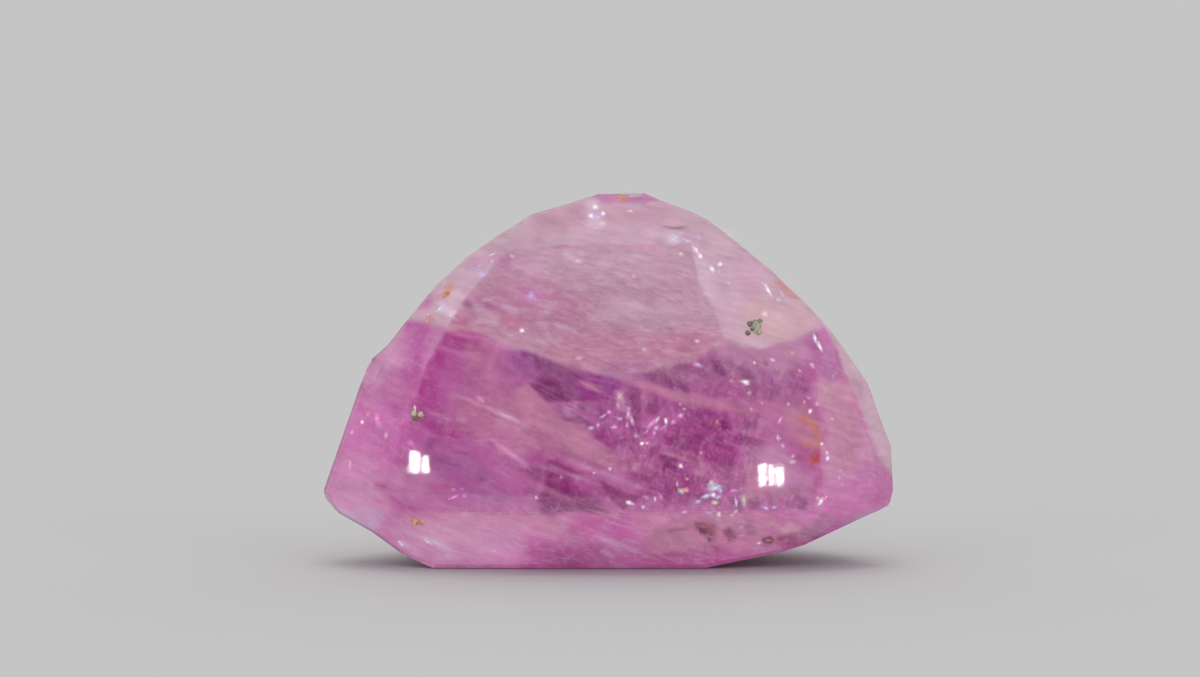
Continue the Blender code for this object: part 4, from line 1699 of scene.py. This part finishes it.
def read_flakes(table: str) -> tuple[Flake, ...]:
    """The flakes of a table, in its order: each one's glint, then its numbers as in a Flake."""
    rows = [row.split() for row in table.split(";")]
    return tuple(Flake(Glint[glint], *map(float, numbers)) for glint, *numbers in rows)


# Painted glints: each flake glows in its tint where the front shows a flash of light.
FLAKES = read_flakes("""
    WHITE 595 207 3 3.4; WHITE 591 216 3 2.8; WHITE 603 213.5 2.6 2.8; LAVENDER 597 217 4.5 3.5 0 0.6;
    BLUSH 602 224 4 5 0 0.35; BLUSH 630 211 3.4 2.4 0 0.5; ICE 673 239 5 6 20 0.5;
    LAVENDER 688 241 7 2.2 32 0.6; WHITE 696 250 5 2 48 0.75; WHITE 700.5 256 2.4 2.8 0 0.9;
    WHITE 712 269 3.2 2.6 40 0.9; WHITE 720.5 264 3 2.2 -20 0.8; LAVENDER 719 271 2 1.6 0 0.5;
    BLUSH 681 254 3 2.2 0 0.6; LAVENDER 699 238 4 2 20 0.5; WHITE 768 290 6 1.7 60 0.95;
    LAVENDER 763 284 3.5 1.6 45 0.5; BLUSH 764.5 314 3.4 2.6 0 0.7; LAVENDER 782 294 5 1.8 60 0.45;
    ICE 778 300 3 2.6 0 0.5; BLUSH 729 283 2.4 1.6 20 0.4; LAVENDER 482 275 6.5 3.2 35 0.75;
    LAVENDER 479 266 3.5 1.8 15 0.55; ICE 440 309 4.5 3.2 0 0.85; BLUSH 452 313 6 4.5 40 0.45;
    WHITE 492 254.5 5 1.6 8 0.7; BLUSH 492 261 2.2 2.2 0 0.6; BLUSH 512 256 3 1.8 35 0.4;
    WHITE 522 330.5 2.6 2.2 0 0.95; MAGENTA 428.5 314 2.8 2 0 0.9; SALMON 427.5 321.5 2 2.4 0 0.6;
    LAVENDER 531 296 5 4 -20 0.5; CREAM 578 261 3.4 2.2 0 0.45; CREAM 634 276 3 2.2 30 0.4;
    BLUSH 697 341 2.8 2 0 0.6; CREAM 579 358 4 1.8 -10 0.4; BLUSH 644 350 2 1.8 0 0.4;
    WHITE 815 338 4.6 2.4 68 1; WHITE 820 347 6.2 2.4 58 1; WHITE 745.5 382 4.4 2.4 4 1;
    CREAM 749 393 2.8 2 0 0.4; WHITE 773 360 2.4 1.8 20 0.5; CREAM 754.5 363 2 2 0 0.7;
    LAVENDER 698 364.5 4.5 2.2 12 0.7; BLUSH 812 365 3.8 2.2 50 0.5; SALMON 792.5 353 2.8 2 30 0.65;
    SALMON 799.5 370.5 2.6 1.4 30 0.7; SALMON 731 381 2.6 1.6 0 0.5; WHITE 810 411 2.8 2 -40 0.85;
    BLUSH 817 404 2.2 2.2 0 0.45; BLUSH 788.5 404 2.2 1.8 0 0.45; LAVENDER 778 438 2 3.4 -20 0.7;
    LAVENDER 783 446 2 1.8 0 0.65; WHITE 821.5 444 1.8 1.8 0 0.95; WHITE 827.5 458 2.4 2.6 30 1;
    BLUSH 827 453 2.4 1.4 0 0.8; BLUSH 792 462 3 2 0 0.45; ICE 793 456 2.4 1.8 0 0.4;
    LAVENDER 840 471 2 2.2 0 0.4; BLUSH 839.5 478 1.4 1.8 0 0.5; BLUSH 832 419 2.4 1.8 0 0.4;
    BLUSH 804 402 1.8 2.2 0 0.3; LAVENDER 809 398 3 1.8 0 0.4; BLUSH 762 403 1.8 2 0 0.3;
    BLUSH 751 409 2 1.8 0 0.3; BLUSH 780 420 1.6 4 25 0.5; LAVENDER 833 376 1.8 2.2 0 0.4;
    SALMON 717 422 2 3 10 0.5; SALMON 701 453 1.8 2.2 0 0.6; WHITE 821 501 2.6 3.2 20 1;
    MAGENTA 825 498 3 2 -30 0.7; ICE 819 504 2 2 0 0.7; CREAM 818 498 2 2 0 0.6; WHITE 666 421 2 3 -10 1;
    MAGENTA 673 422 2.2 2.4 20 0.85; MAGENTA 680.5 415.5 2.8 2.2 -10 0.95; VIOLET 680.5 404 1.8 2.2 0 0.8;
    VIOLET 675 388 1.6 1.6 0 0.7; CREAM 684 409 2 1.4 0 0.4; WHITE 642 443.5 2.4 2.2 0 0.95;
    MAGENTA 647 443 2 1.8 0 0.95; MAGENTA 651 424 7 1.8 -48 0.75; BLUSH 657 420 4 1.8 -52 0.7;
    LAVENDER 656 428 2.4 2.4 0 0.9; MAGENTA 654 433 1.8 2.2 0 0.7; MAGENTA 664 427 4.5 1.4 -35 0.6;
    HOT_PINK 646 432 4 1.4 -50 0.5; MAGENTA 609 412 2 1.8 0 0.9; BLUSH 603 416 4.5 1.3 -32 0.5;
    MAGENTA 614 427 3.2 2 -10 0.9; LAVENDER 620 419 3 1.8 0 0.7; BLUSH 628 414 2 5.5 8 0.55;
    BLUSH 632 420 1.6 5 -15 0.5; BLUSH 627 425 1.6 3 10 0.5; LAVENDER 598 425 2 2.2 0 0.7;
    LAVENDER 591 428 2.6 2 -30 0.7; CREAM 620 396 3.2 4 0 0.4; BLUSH 618 405 2 4.5 0 0.35;
    ICE 636 436 2.8 2.2 0 0.35; LAVENDER 628 408 2.6 3 0 0.4; WHITE 680.5 466 1.8 2.2 0 0.85;
    BLUSH 610 469 1.8 1.8 0 0.6; BLUSH 594 473 1.8 1.4 0 0.5; LAVENDER 561 477 1.6 1.6 0 0.5;
    SALMON 687 479 2.2 1.8 0 0.7; MINT 681 491 3 3 -40 0.8; SALMON 686 490 3 2.6 30 0.8;
    BLUSH 677 484 1.4 3 0 0.5; ICE 712 484 5 2.6 0 0.6; CREAM 711 482 2.4 2.2 0 0.6;
    ICE 715 488 6 3 -10 0.85; WHITE 713.5 495 2.8 2.4 0 0.95; BLUE 720.5 491 2 2.6 0 0.9;
    ICE 706 496 4.2 2.4 -20 0.8; ICE 718 497 3 2.2 0 0.6; BLUE 698 501.5 2.8 2.2 0 0.9;
    CREAM 715 502.5 3.6 2.4 0 0.7; LAVENDER 709 512.5 4.2 1.8 0 0.75; WHITE 719 514 2.2 4.2 0 0.8;
    LAVENDER 685 512 3 1.4 -15 0.6; BLUSH 732 515 2 1.8 0 0.6; MINT 736 511 2.4 2.4 0 0.5;
    LAVENDER 736 502 1.6 4.6 -10 0.9; MINT 744 500 2.2 6 -5 0.6; MAGENTA 734 490.5 5 1.5 0 0.55;
    BLUE 741 489 2 2.4 0 0.5; LAVENDER 766 508 3.4 1.8 20 0.8; BLUE 774 507.5 3 1.6 -10 0.85;
    WHITE 629 502.5 2.8 2.4 20 0.95; MAGENTA 633 504 2.6 1.4 20 0.7; LAVENDER 643 507 2.2 2 0 0.85;
    BLUSH 655 499 1.4 2.8 0 0.6; MAGENTA 661 497 2 4 -10 0.5; LAVENDER 646 497 3 2.4 0 0.4;
    WHITE 759 543 2.4 2 0 0.85; LAVENDER 742 535 3 1.4 15 0.5; LAVENDER 741 527 2.6 2 0 0.45;
    WHITE 536 497 1.6 1.8 0 0.5; HOT_PINK 454 497 4.6 1.8 -22 0.9; HOT_PINK 464 496 2.6 1.6 0 0.8;
    VIOLET 462 489 2.8 1.6 0 0.7; HOT_PINK 454 490 2.8 1.6 0 0.5; MAGENTA 377 419 3.2 5 0 0.85;
    HOT_PINK 379 424 3.4 4 0 0.55; SALMON 376.5 418 1.6 2.4 0 0.7; SALMON 368 414 3 2.4 -30 0.65;
    WHITE 362 422 2.6 2 20 0.95; BLUSH 352 432.5 2 2.4 0 0.6; BLUSH 386 435 3 3 0 0.5;
    HOT_PINK 411 443 4 3 30 0.5; HOT_PINK 402 422 4 3 -20 0.4; BLUSH 350 464 2.2 5 0 0.4;
    SALMON 345 462 4 2 -20 0.35; WHITE 401 544 4 1.8 36 0.7; BLUSH 428 542 5 1.6 22 0.6;
    CREAM 494 551 3 2.2 0 0.4; LAVENDER 448 556 5 3 20 0.35
""")


@dataclass
class PaintedGlintFlakes(SkinPiece):
    """All the painted glints of the front, each a small soft-rimmed glowing plate in the polish."""

    name: str = "bright_flakes"
    flakes: tuple = FLAKES
    sides: int = 8
    lift: float = 0.004
    core: float = 0.26
    core_cover: float = 0.6
    reach: float = 1.4
    raggedness: float = 0.25
    finish: GlintFinish = field(default_factory=GlintFinish)

    def shape(self, skin: BVHTree) -> tuple[list, list, dict]:
        """Lays every flake on the skin: a centre, a full ring and a clear outer ring."""
        turns = np.linspace(0.0, 2.0 * np.pi, self.sides, endpoint=False)
        rng = np.random.default_rng(5)
        points, tones, faces = [], [], []
        for number, flake in enumerate(self.flakes):
            spot, normal = VIEW.onto(skin, flake.across, flake.down)
            right = level_way(normal)
            fall = self.down_way(np.cross(normal, right))
            angle = math.radians(flake.turn)
            long_way = math.cos(angle) * right + math.sin(angle) * fall
            wide_way = math.cos(angle) * fall - math.sin(angle) * right
            ragged = 1.0 + self.raggedness * rng.uniform(-1.0, 1.0, self.sides)
            base = 1 + 2 * self.sides
            start = number * base
            points.append((spot + self.lift * normal)[None])
            for size in (self.core, self.reach):
                arms = np.cos(turns)[:, None] * flake.length * long_way
                arms = arms + np.sin(turns)[:, None] * flake.width * wide_way
                arms = arms * (size * ragged / VIEW.steps_per_mm)[:, None]
                points.append(spot + self.lift * normal + arms)
            tone = screen_colour(*flake.glint.value)
            ring_covers = np.repeat([flake.strength * self.core_cover, 0.0], self.sides)
            tones.append(np.column_stack([np.tile(tone, (base, 1)), [flake.strength, *ring_covers]]))
            ahead = (np.arange(self.sides) + 1) % self.sides
            for here, there in enumerate(ahead):
                inner, following = start + 1 + here, start + 1 + there
                faces.append((start, inner, following))
                faces.append((inner, inner + self.sides, following + self.sides, following))
        return points, faces, {"tone": tones}

    @staticmethod
    def down_way(fall: Array) -> Array:
        """The skin's own direction that runs down, whichever way it came."""
        return fall if fall[2] < 0.0 else -fall


@dataclass(frozen=True)
class GrainFinish:
    """Dull mineral: its own tone, darkened towards near black over a coarse mottling that also makes its
    bump, and dusted pale over a finer one.
    """

    coarse_dark: Colour = (0.03, 0.02, 0.015)
    dust: Colour = (0.80, 0.78, 0.66)

    def make(self) -> bpy.types.Material:
        """Wires the material."""
        material, wiring, shader = new_material("mineral_grain")
        place = wiring.place()
        coarse = wiring.mottle(place, 5200.0, 0.42, 0.60)
        fine = wiring.mottle(place, 16000.0, 0.35, 0.65)
        colour = wiring.painted("tone").outputs["Color"]
        colour = wiring.blend(wiring.times(coarse, 0.55), colour, self.coarse_dark)
        colour = wiring.blend(wiring.times(fine, 0.25), colour, self.dust)
        wiring.feed(shader.inputs["Base Color"], colour)
        wiring.feed(shader.inputs["Roughness"], wiring.spread(fine, 0.0, 1.0, 0.45, 0.8))
        bump = wiring.add("ShaderNodeBump", Height=coarse, Strength=0.5, Distance=0.00003)
        wiring.feed(shader.inputs["Normal"], bump.outputs[0])
        return material


@dataclass(frozen=True)
class Lump:
    """One lump of a mineral grain: its place, half sizes in picture steps, height and colour."""

    colour: tuple[float, float, float]
    across: float
    down: float
    half_across: float
    half_down: float
    height: float = 0.05


# Each grain is built from lumps of colour; some lumps are painted light and shade, as marked below.
LUMPS = (
    Lump((150, 152, 130), 755, 326, 5.5, 6.5, 0.09),
    # Grey-green grain: the dark lumps at its left and lower left are painted shade, and the pale lump at its
    # upper right is a painted lit top.
    Lump((74, 66, 44), 750.5, 324, 3.2, 3.0, 0.08),
    Lump((62, 52, 38), 753, 329, 3.0, 2.4, 0.09),
    Lump((176, 178, 160), 756.5, 323, 2.6, 2.4, 0.11),
    Lump((108, 110, 84), 760, 321, 2.4, 2.2, 0.06),
    Lump((168, 160, 138), 758, 332, 3.6, 3.4, 0.05),
    Lump((88, 52, 50), 747.5, 333, 2.8, 2.6, 0.06),
    Lump((200, 186, 150), 414, 413.5, 2.8, 3.4, 0.07),
    Lump((206, 194, 158), 421, 414.5, 3.2, 2.8, 0.07),
    Lump((190, 180, 160), 415, 408, 1.5, 2.6, 0.04),
    # Pale grain: the two brown lumps under it are painted shadow.
    Lump((92, 44, 22), 415, 418.5, 3.2, 2.6, 0.07),
    Lump((120, 74, 40), 421, 418.5, 2.8, 2.0, 0.06),
    Lump((214, 146, 92), 414.5, 521.5, 4.0, 3.8, 0.03),
    Lump((218, 142, 96), 421, 522.5, 3.8, 3.6, 0.03),
    Lump((206, 120, 84), 446, 294.5, 5.0, 2.6, 0.03),
    Lump((212, 138, 92), 623, 197, 4.2, 2.6, 0.04),
    Lump((150, 84, 60), 768, 540.5, 3.2, 2.2, 0.03),
)


@dataclass
class MineralGrains(SkinPiece):
    """Small foreign grains, half sunk in the skin, with painted light and shade on two of them."""

    name: str = "mineral_grains"
    lumps: tuple = LUMPS
    round_cells: int = 14
    rise_cells: int = 7
    unevenness: float = 0.22
    finish: GrainFinish = field(default_factory=GrainFinish)

    def shape(self, skin: BVHTree) -> tuple[list, list, dict]:
        """Sets every lump in the skin: an egg shape with an uneven radius, closed at both poles."""
        turn = np.linspace(0.0, 2.0 * np.pi, self.round_cells, endpoint=False)
        rise = np.linspace(0.0, np.pi, self.rise_cells + 1)[1:-1]
        angle, polar = np.meshgrid(turn, rise)
        flat = np.sin(polar)
        ball = np.stack([np.cos(angle) * flat, np.sin(angle) * flat, np.cos(polar)], axis=-1)
        ball = np.concatenate([[[0.0, 0.0, 1.0]], ball.reshape(-1, 3), [[0.0, 0.0, -1.0]]])
        count = len(ball)
        own = self.ball_faces()
        points, tones, faces = [], [], []
        for number, lump in enumerate(self.lumps):
            spot, normal = VIEW.onto(skin, lump.across, lump.down)
            right = level_way(normal)
            up = np.cross(right, normal)
            u, v = ball[:, 0] * 3.0 + number, ball[:, 1] * 3.0 + ball[:, 2]
            uneven = 1.0 + self.unevenness * lattice_noise(u, v, 1.1, 60 + number)
            shaped = ball * uneven[:, None]
            arms = shaped[:, :1] * right * lump.half_across / VIEW.steps_per_mm
            arms = arms + shaped[:, 1:2] * up * lump.half_down / VIEW.steps_per_mm
            arms = arms + shaped[:, 2:] * normal * lump.height
            points.append(spot + arms)
            faces += [tuple(corner + number * count for corner in face) for face in own]
            tones.append(np.tile([*screen_colour(*lump.colour), 1.0], (count, 1)))
        return points, faces, {"tone": tones}

    def ball_faces(self) -> list[tuple[int, ...]]:
        """The faces of one lump: a fan at each pole and four-sided faces between, all outwards."""
        across, rows = self.round_cells, self.rise_cells - 1
        last = rows * across + 1
        faces = []
        for here in range(across):
            there = (here + 1) % across
            faces.append((0, 1 + here, 1 + there))
            faces.append((last, last - across + there, last - across + here))
            for row in range(rows - 1):
                near, far = 1 + row * across, 1 + (row + 1) * across
                faces.append((near + here, far + here, far + there, near + there))
        return faces


@dataclass(frozen=True)
class VeilFinish:
    """A milky growth veil: pale crystal, ragged and streaky, with clear gaps."""

    tone: Colour = (0.86, 0.62, 0.78)
    cover: float = 0.75
    thread_tone: Colour = (0.95, 0.84, 0.93)
    lean: float = -20.0

    def make(self) -> bpy.types.Material:
        """Wires the material."""
        material, wiring, shader = new_material("growth_veil")
        place = wiring.place()
        edge = wiring.painted("cover").outputs["Fac"]
        threads = wiring.silk(place, self.lean, (420.0, 1500.0, 4200.0), 0.42, 0.66)
        clouds = wiring.mottle(place, 900.0, 0.30, 0.66)
        wiring.feed(shader.inputs["Base Color"], wiring.blend(threads, self.tone, self.thread_tone))
        wiring.feed(shader.inputs["Alpha"], wiring.times(threads, clouds, edge, self.cover))
        shader.inputs["Roughness"].default_value = 0.55
        return material


@dataclass
class GrowthVeils(SkinPiece):
    """Thin wavy sheets inside the crystal that the eye meets at different depths."""

    name: str = "growth_veils"
    # Start and end in picture steps, width, depth under the skin at start and end, and dip
    sheets: tuple = (
        ((440, 395), (665, 490), 46.0, 0.35, 0.9, 0.9),
        ((500, 345), (760, 420), 34.0, 0.50, 1.3, 0.7),
        ((470, 280), (700, 325), 70.0, 0.40, 0.8, 0.8),
        ((345, 470), (560, 520), 44.0, 0.40, 0.9, 0.8),
        ((600, 455), (800, 500), 30.0, 0.60, 1.4, 0.9),
        ((720, 350), (850, 470), 60.0, 0.50, 1.0, 0.6),
        ((640, 215), (800, 330), 40.0, 0.35, 0.7, 0.6),
    )
    cells: tuple = (48, 16)
    finish: VeilFinish = field(default_factory=VeilFinish)

    def shape(self, skin: BVHTree) -> tuple[list, list, dict]:
        """Hangs every sheet under the skin: its middle line sinks, and across it the sheet dips."""
        long_cells, wide_cells = self.cells
        steps = np.linspace(0, 1, long_cells + 1), np.linspace(-1, 1, wide_cells + 1)
        share, side = np.meshgrid(*steps, indexing="ij")
        cells = grid_cells(share.shape)
        points, covers, faces = [], [], []
        for number, (start, end, width, near, far, dip) in enumerate(self.sheets):
            spots = [VIEW.onto(skin, *place)[0] for place in (start, end)]
            run = spots[1] - spots[0]
            over = np.cross(run, [0.0, 1.0, 0.0])
            over /= np.linalg.norm(over)
            depth = near + (far - near) * share + 0.5 * dip * (side + 1.0)
            depth = depth + 0.10 * np.sin(9.0 * share + 3.0 * side + number)
            depth = depth + 0.05 * np.sin(23.0 * share - 2.0 * side)
            half = width / VIEW.steps_per_mm * (0.55 + 0.45 * np.sin(np.pi * share))
            place = spots[0] + share[..., None] * run + (side * half)[..., None] * over
            place[..., 1] += depth
            points.append(place.reshape(-1, 3))
            fade = np.clip(4.0 * share * (1.0 - share), 0.0, 1.0) ** 0.5 * (1.0 - np.abs(side) ** 3)
            cover = fade.reshape(-1)
            covers.append(np.column_stack([cover] * 3 + [np.ones(len(cover))]))
            faces += (cells + number * share.size).tolist()
        return points, faces, {"cover": covers}


@dataclass(frozen=True)
class NeedleFinish:
    """Pale rutile-like silk, a little shiny along its length."""

    pale: Colour = (0.92, 0.80, 0.90)
    pink: Colour = (0.86, 0.58, 0.74)

    def make(self) -> bpy.types.Material:
        """Wires the material."""
        material, wiring, shader = new_material("silk_needles")
        clouds = wiring.mottle(wiring.place(), 2500.0, 0.3, 0.7)
        wiring.feed(shader.inputs["Base Color"], wiring.blend(clouds, self.pale, self.pink))
        shader.inputs["Roughness"].default_value = 0.3
        return material


@dataclass
class SilkNeedles(SkinPiece):
    """Fine needles that lean three ways, just under the polish."""

    name: str = "silk_needles"
    count: int = 190
    # The outline on the front that they lie in, in picture steps, and its span
    area: tuple = (
        (440, 420), (500, 270), (560, 252), (700, 252), (790, 330),
        (845, 440), (815, 500), (620, 505), (450, 480),
    )
    span: tuple = ((440.0, 252.0), (845.0, 505.0))
    leans: tuple = (-22.0, -8.0, 38.0)
    shares: tuple = (0.55, 0.35, 0.10)
    lean_spread: float = 2.0
    half_lengths: tuple = (0.05, 0.28)
    depths: tuple = (0.05, 0.55)
    thickness: float = 0.006
    finish: NeedleFinish = field(default_factory=NeedleFinish)

    def shape(self, skin: BVHTree) -> tuple[list, list, dict]:
        """Strews the needles: each is a three-sided splinter, pointed at both ends."""
        rng = np.random.default_rng(11)
        turns = np.radians([90.0, 210.0, 330.0])
        spread = rng.uniform(*self.span, (2 * self.count, 2))
        inside = edge_distance(spread[:, 0], spread[:, 1], np.array(self.area, dtype=float))[0] < 0.0
        points, faces = [], []
        for number, (across, down) in enumerate(spread[inside][: self.count]):
            spot, _ = VIEW.onto(skin, across, down)
            lean = math.radians(rng.choice(self.leans, p=self.shares) + rng.normal(0.0, self.lean_spread))
            way = np.array([math.cos(lean), 0.15 * rng.uniform(-1, 1), math.sin(lean)])
            way /= np.linalg.norm(way)
            half = rng.uniform(*self.half_lengths)
            middle = spot + np.array([0.0, rng.uniform(*self.depths), 0.0])
            side = np.cross(way, [0.0, 1.0, 0.0])
            side /= np.linalg.norm(side)
            rear = np.cross(way, side)
            ring = self.thickness * (np.cos(turns)[:, None] * side + np.sin(turns)[:, None] * rear)
            points.append(np.concatenate([[middle - half * way], middle + ring, [middle + half * way]]))
            a = number * 5
            for here, there in ((1, 2), (2, 3), (3, 1)):
                faces.append((a, a + there, a + here))
                faces.append((a + 4, a + here, a + there))
        return points, faces, {}


# The stage


@dataclass
class Stage:
    """A plain pale floor in even light, with two small window reflections on the polish."""

    grey: float = 0.552
    floor_albedo: float = 0.592
    floor_half_size: float = 3000.0
    floor_gap: float = 0.02
    front: float = 0.74
    behind: float = 0.96
    dim: float = 0.10
    side: float = 0.55
    side_boost: float = 0.5
    fill_size: tuple[float, float] = (420.0, 110.0)
    fill_distance: float = 420.0
    fill_rise: float = 9.0
    fill_radiance: float = 8.8
    top_spread: float = 34.0
    top_lean: float = 12.0
    top_strength: float = 0.55
    # Where each light is mirrored, the direction to it from there, and its panes as
    # (shift across, shift up, width, height) in millimetres
    windows: tuple = (
        ((-6.0, -3.4, 3.4), (-0.484, -0.869, 0.080), ((-8.0, 0.0, 7.4, 14.5), (0.4, -1.4, 4.2, 11.5))),
        ((5.1, -3.6, 3.0), (0.415, -0.907, 0.050), ((-0.6, 0.0, 5.0, 14.5), (6.2, 0.0, 3.4, 14.2),
                                                    (12.4, -1.0, 4.8, 12.5))),
    )
    window_distance: float = 250.0
    window_radiance: float = 20.0

    def build(self) -> None:
        """Makes the floor, the world and the lights."""
        self.build_floor()
        self.build_world()
        for number, (mirror, direction, panes) in enumerate(self.windows):
            for pane, sizes in enumerate(panes):
                self.build_light(f"window_{number + 1}_{pane + 1}", mirror, direction, sizes)
        self.build_fill()
        self.build_top()
        scene = bpy.context.scene
        scene.view_settings.view_transform = "Standard"
        scene.view_settings.look = "None"
        scene.cycles.max_bounces = 16
        scene.cycles.transmission_bounces = 12
        scene.cycles.transparent_max_bounces = 24
        scene.cycles.diffuse_bounces = 4
        scene.cycles.glossy_bounces = 6
        scene.cycles.sample_clamp_indirect = 4.0

    def build_floor(self) -> None:
        """Makes the floor, just under the stone."""
        size = self.floor_half_size
        corners = [(-size, -size), (size, -size), (size, size), (-size, size)]
        points = np.array([(x, y, -self.floor_gap) for x, y in corners])
        floor = new_object("floor", points, [(0, 1, 2, 3)])
        material, _, shader = new_material("pale_floor")
        shader.inputs["Base Color"].default_value = (self.floor_albedo,) * 3 + (1.0,)
        shader.inputs["Roughness"].default_value = 1.0
        shader.inputs["Specular IOR Level"].default_value = 0.0
        floor.data.materials.append(material)

    def build_world(self) -> None:
        """Makes even light that is dim only round the camera, so that the polish stays clear."""
        world = bpy.data.worlds.new("studio")
        bpy.context.scene.world = world
        world.use_nodes = True
        wiring = Wiring(world.node_tree)
        wiring.tree.nodes.clear()
        place = wiring.add("ShaderNodeTexCoord").outputs["Generated"]
        parts = wiring.add("ShaderNodeSeparateXYZ", Vector=place)
        front = wiring.times(parts.outputs["Y"], -1.0)
        dim = wiring.spread(front, 0.66, 0.90, 0.0, 1.0)
        behind = wiring.spread(parts.outputs["Y"], 0.0, 0.5, self.front, self.behind)
        lift = wiring.spread(parts.outputs["Z"], 0.0, 0.6, 0.85, 1.0)
        level = wiring.times(behind, lift)
        kept = wiring.sum("SUBTRACT", 1.0, wiring.times(dim, 1.0 - self.dim))
        level = wiring.times(level, kept)
        beside = wiring.sum("ABSOLUTE", parts.outputs["X"])
        aside = wiring.spread(beside, 0.62, 0.76, 0.0, 1.0)
        facing = wiring.spread(front, 0.25, 0.45, 0.0, 1.0)
        low = wiring.spread(parts.outputs["Z"], 0.30, 0.60, 1.0, 0.0)
        softboxes = wiring.times(aside, facing, low)
        level = wiring.sum("ADD", level, wiring.times(softboxes, self.side_boost))
        coarse_dark = wiring.spread(beside, 0.88, 0.97, 1.0, self.side)
        level = wiring.times(level, coarse_dark)
        soft = wiring.add("ShaderNodeBackground", Color=(1.0, 1.0, 1.0, 1.0), Strength=level)
        plain = wiring.add("ShaderNodeBackground", Color=(1.0, 1.0, 1.0, 1.0), Strength=self.grey)
        rays = wiring.add("ShaderNodeLightPath")
        mix = wiring.add("ShaderNodeMixShader")
        wiring.feed(mix.inputs[0], rays.outputs["Is Camera Ray"])
        wiring.feed(mix.inputs[1], soft.outputs[0])
        wiring.feed(mix.inputs[2], plain.outputs[0])
        wiring.feed(wiring.add("ShaderNodeOutputWorld").inputs["Surface"], mix.outputs[0])

    @staticmethod
    def area_light(name: str, size: Sequence[float], radiance: float) -> bpy.types.Object:
        """Makes a flat light that the camera does not see.

        Args:
            name: its name.
            size: its width and height in millimetres.
            radiance: how bright it is.

        Returns:
            The light, at the origin.
        """
        width, height = size
        data = bpy.data.lights.new(name, "AREA")
        data.shape = "RECTANGLE"
        data.size = width * MM
        data.size_y = height * MM
        data.energy = radiance * math.pi * width * height * MM * MM
        light = bpy.data.objects.new(name, data)
        light.visible_camera = False
        bpy.context.scene.collection.objects.link(light)
        return light

    def build_light(self, name: str, mirror: tuple, direction: tuple, sizes: tuple) -> None:
        """Makes one pane of a window light.

        Args:
            name: its name.
            mirror: the place on the stone that mirrors it.
            direction: the way to it from there.
            sizes: how far it is to the right of the window's middle and above it, its width and height.
        """
        shift, rise, *size = sizes
        light = self.area_light(name, size, self.window_radiance)
        towards = Vector(direction).normalized()
        turn = towards.to_track_quat("Z", "Y")
        right = turn @ Vector((1.0, 0.0, 0.0))
        up = turn @ Vector((0.0, 1.0, 0.0))
        middle = Vector(mirror) + towards * self.window_distance + right * shift + up * rise
        light.location = middle * MM
        light.rotation_euler = turn.to_euler()

    def build_top(self) -> None:
        """Makes a soft light above and behind that only the floor gets, for the stone's shadow."""
        data = bpy.data.lights.new("top_light", "SUN")
        data.angle = math.radians(self.top_spread)
        data.energy = self.top_strength
        light = bpy.data.objects.new("top_light", data)
        light.rotation_euler = (-math.radians(self.top_lean), 0.0, 0.0)
        bpy.context.scene.collection.objects.link(light)
        lit = bpy.data.collections.new("lit_by_top")
        lit.objects.link(bpy.data.objects["floor"])
        light.light_linking.receiver_collection = lit

    def build_fill(self) -> None:
        """Makes a broad low light in front that only the stone gets, and that no polish mirrors."""
        light = self.area_light("front_fill", self.fill_size, self.fill_radiance)
        rise = math.radians(self.fill_rise)
        towards = Vector((0.0, -math.cos(rise), math.sin(rise)))
        light.location = towards * self.fill_distance * MM
        light.rotation_euler = towards.to_track_quat("Z", "Y").to_euler()
        light.visible_glossy = False
        light.visible_transmission = False
        lit = bpy.data.collections.new("lit_by_fill")
        for piece in bpy.data.objects:
            if piece.type == "MESH" and piece.name != "floor":
                lit.objects.link(piece)
        light.light_linking.receiver_collection = lit


def main() -> None:
    """Builds the stone and its surroundings in order, and reports each piece."""
    logging.basicConfig(level=logging.INFO)
    VIEW.build()
    stone = StoneShell()
    shell = stone.build()
    stone.dress(shell, FrontPattern())
    keep(shell)
    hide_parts("sapphire")
    skin = BVHTree.FromObject(shell, bpy.context.evaluated_depsgraph_get())
    for part in (GrowthVeils(), SilkNeedles(), MineralGrains(), PaintedGlintFlakes()):
        keep(part.build(skin))
    Stage().build()


if __name__ == "__main__":
    main()
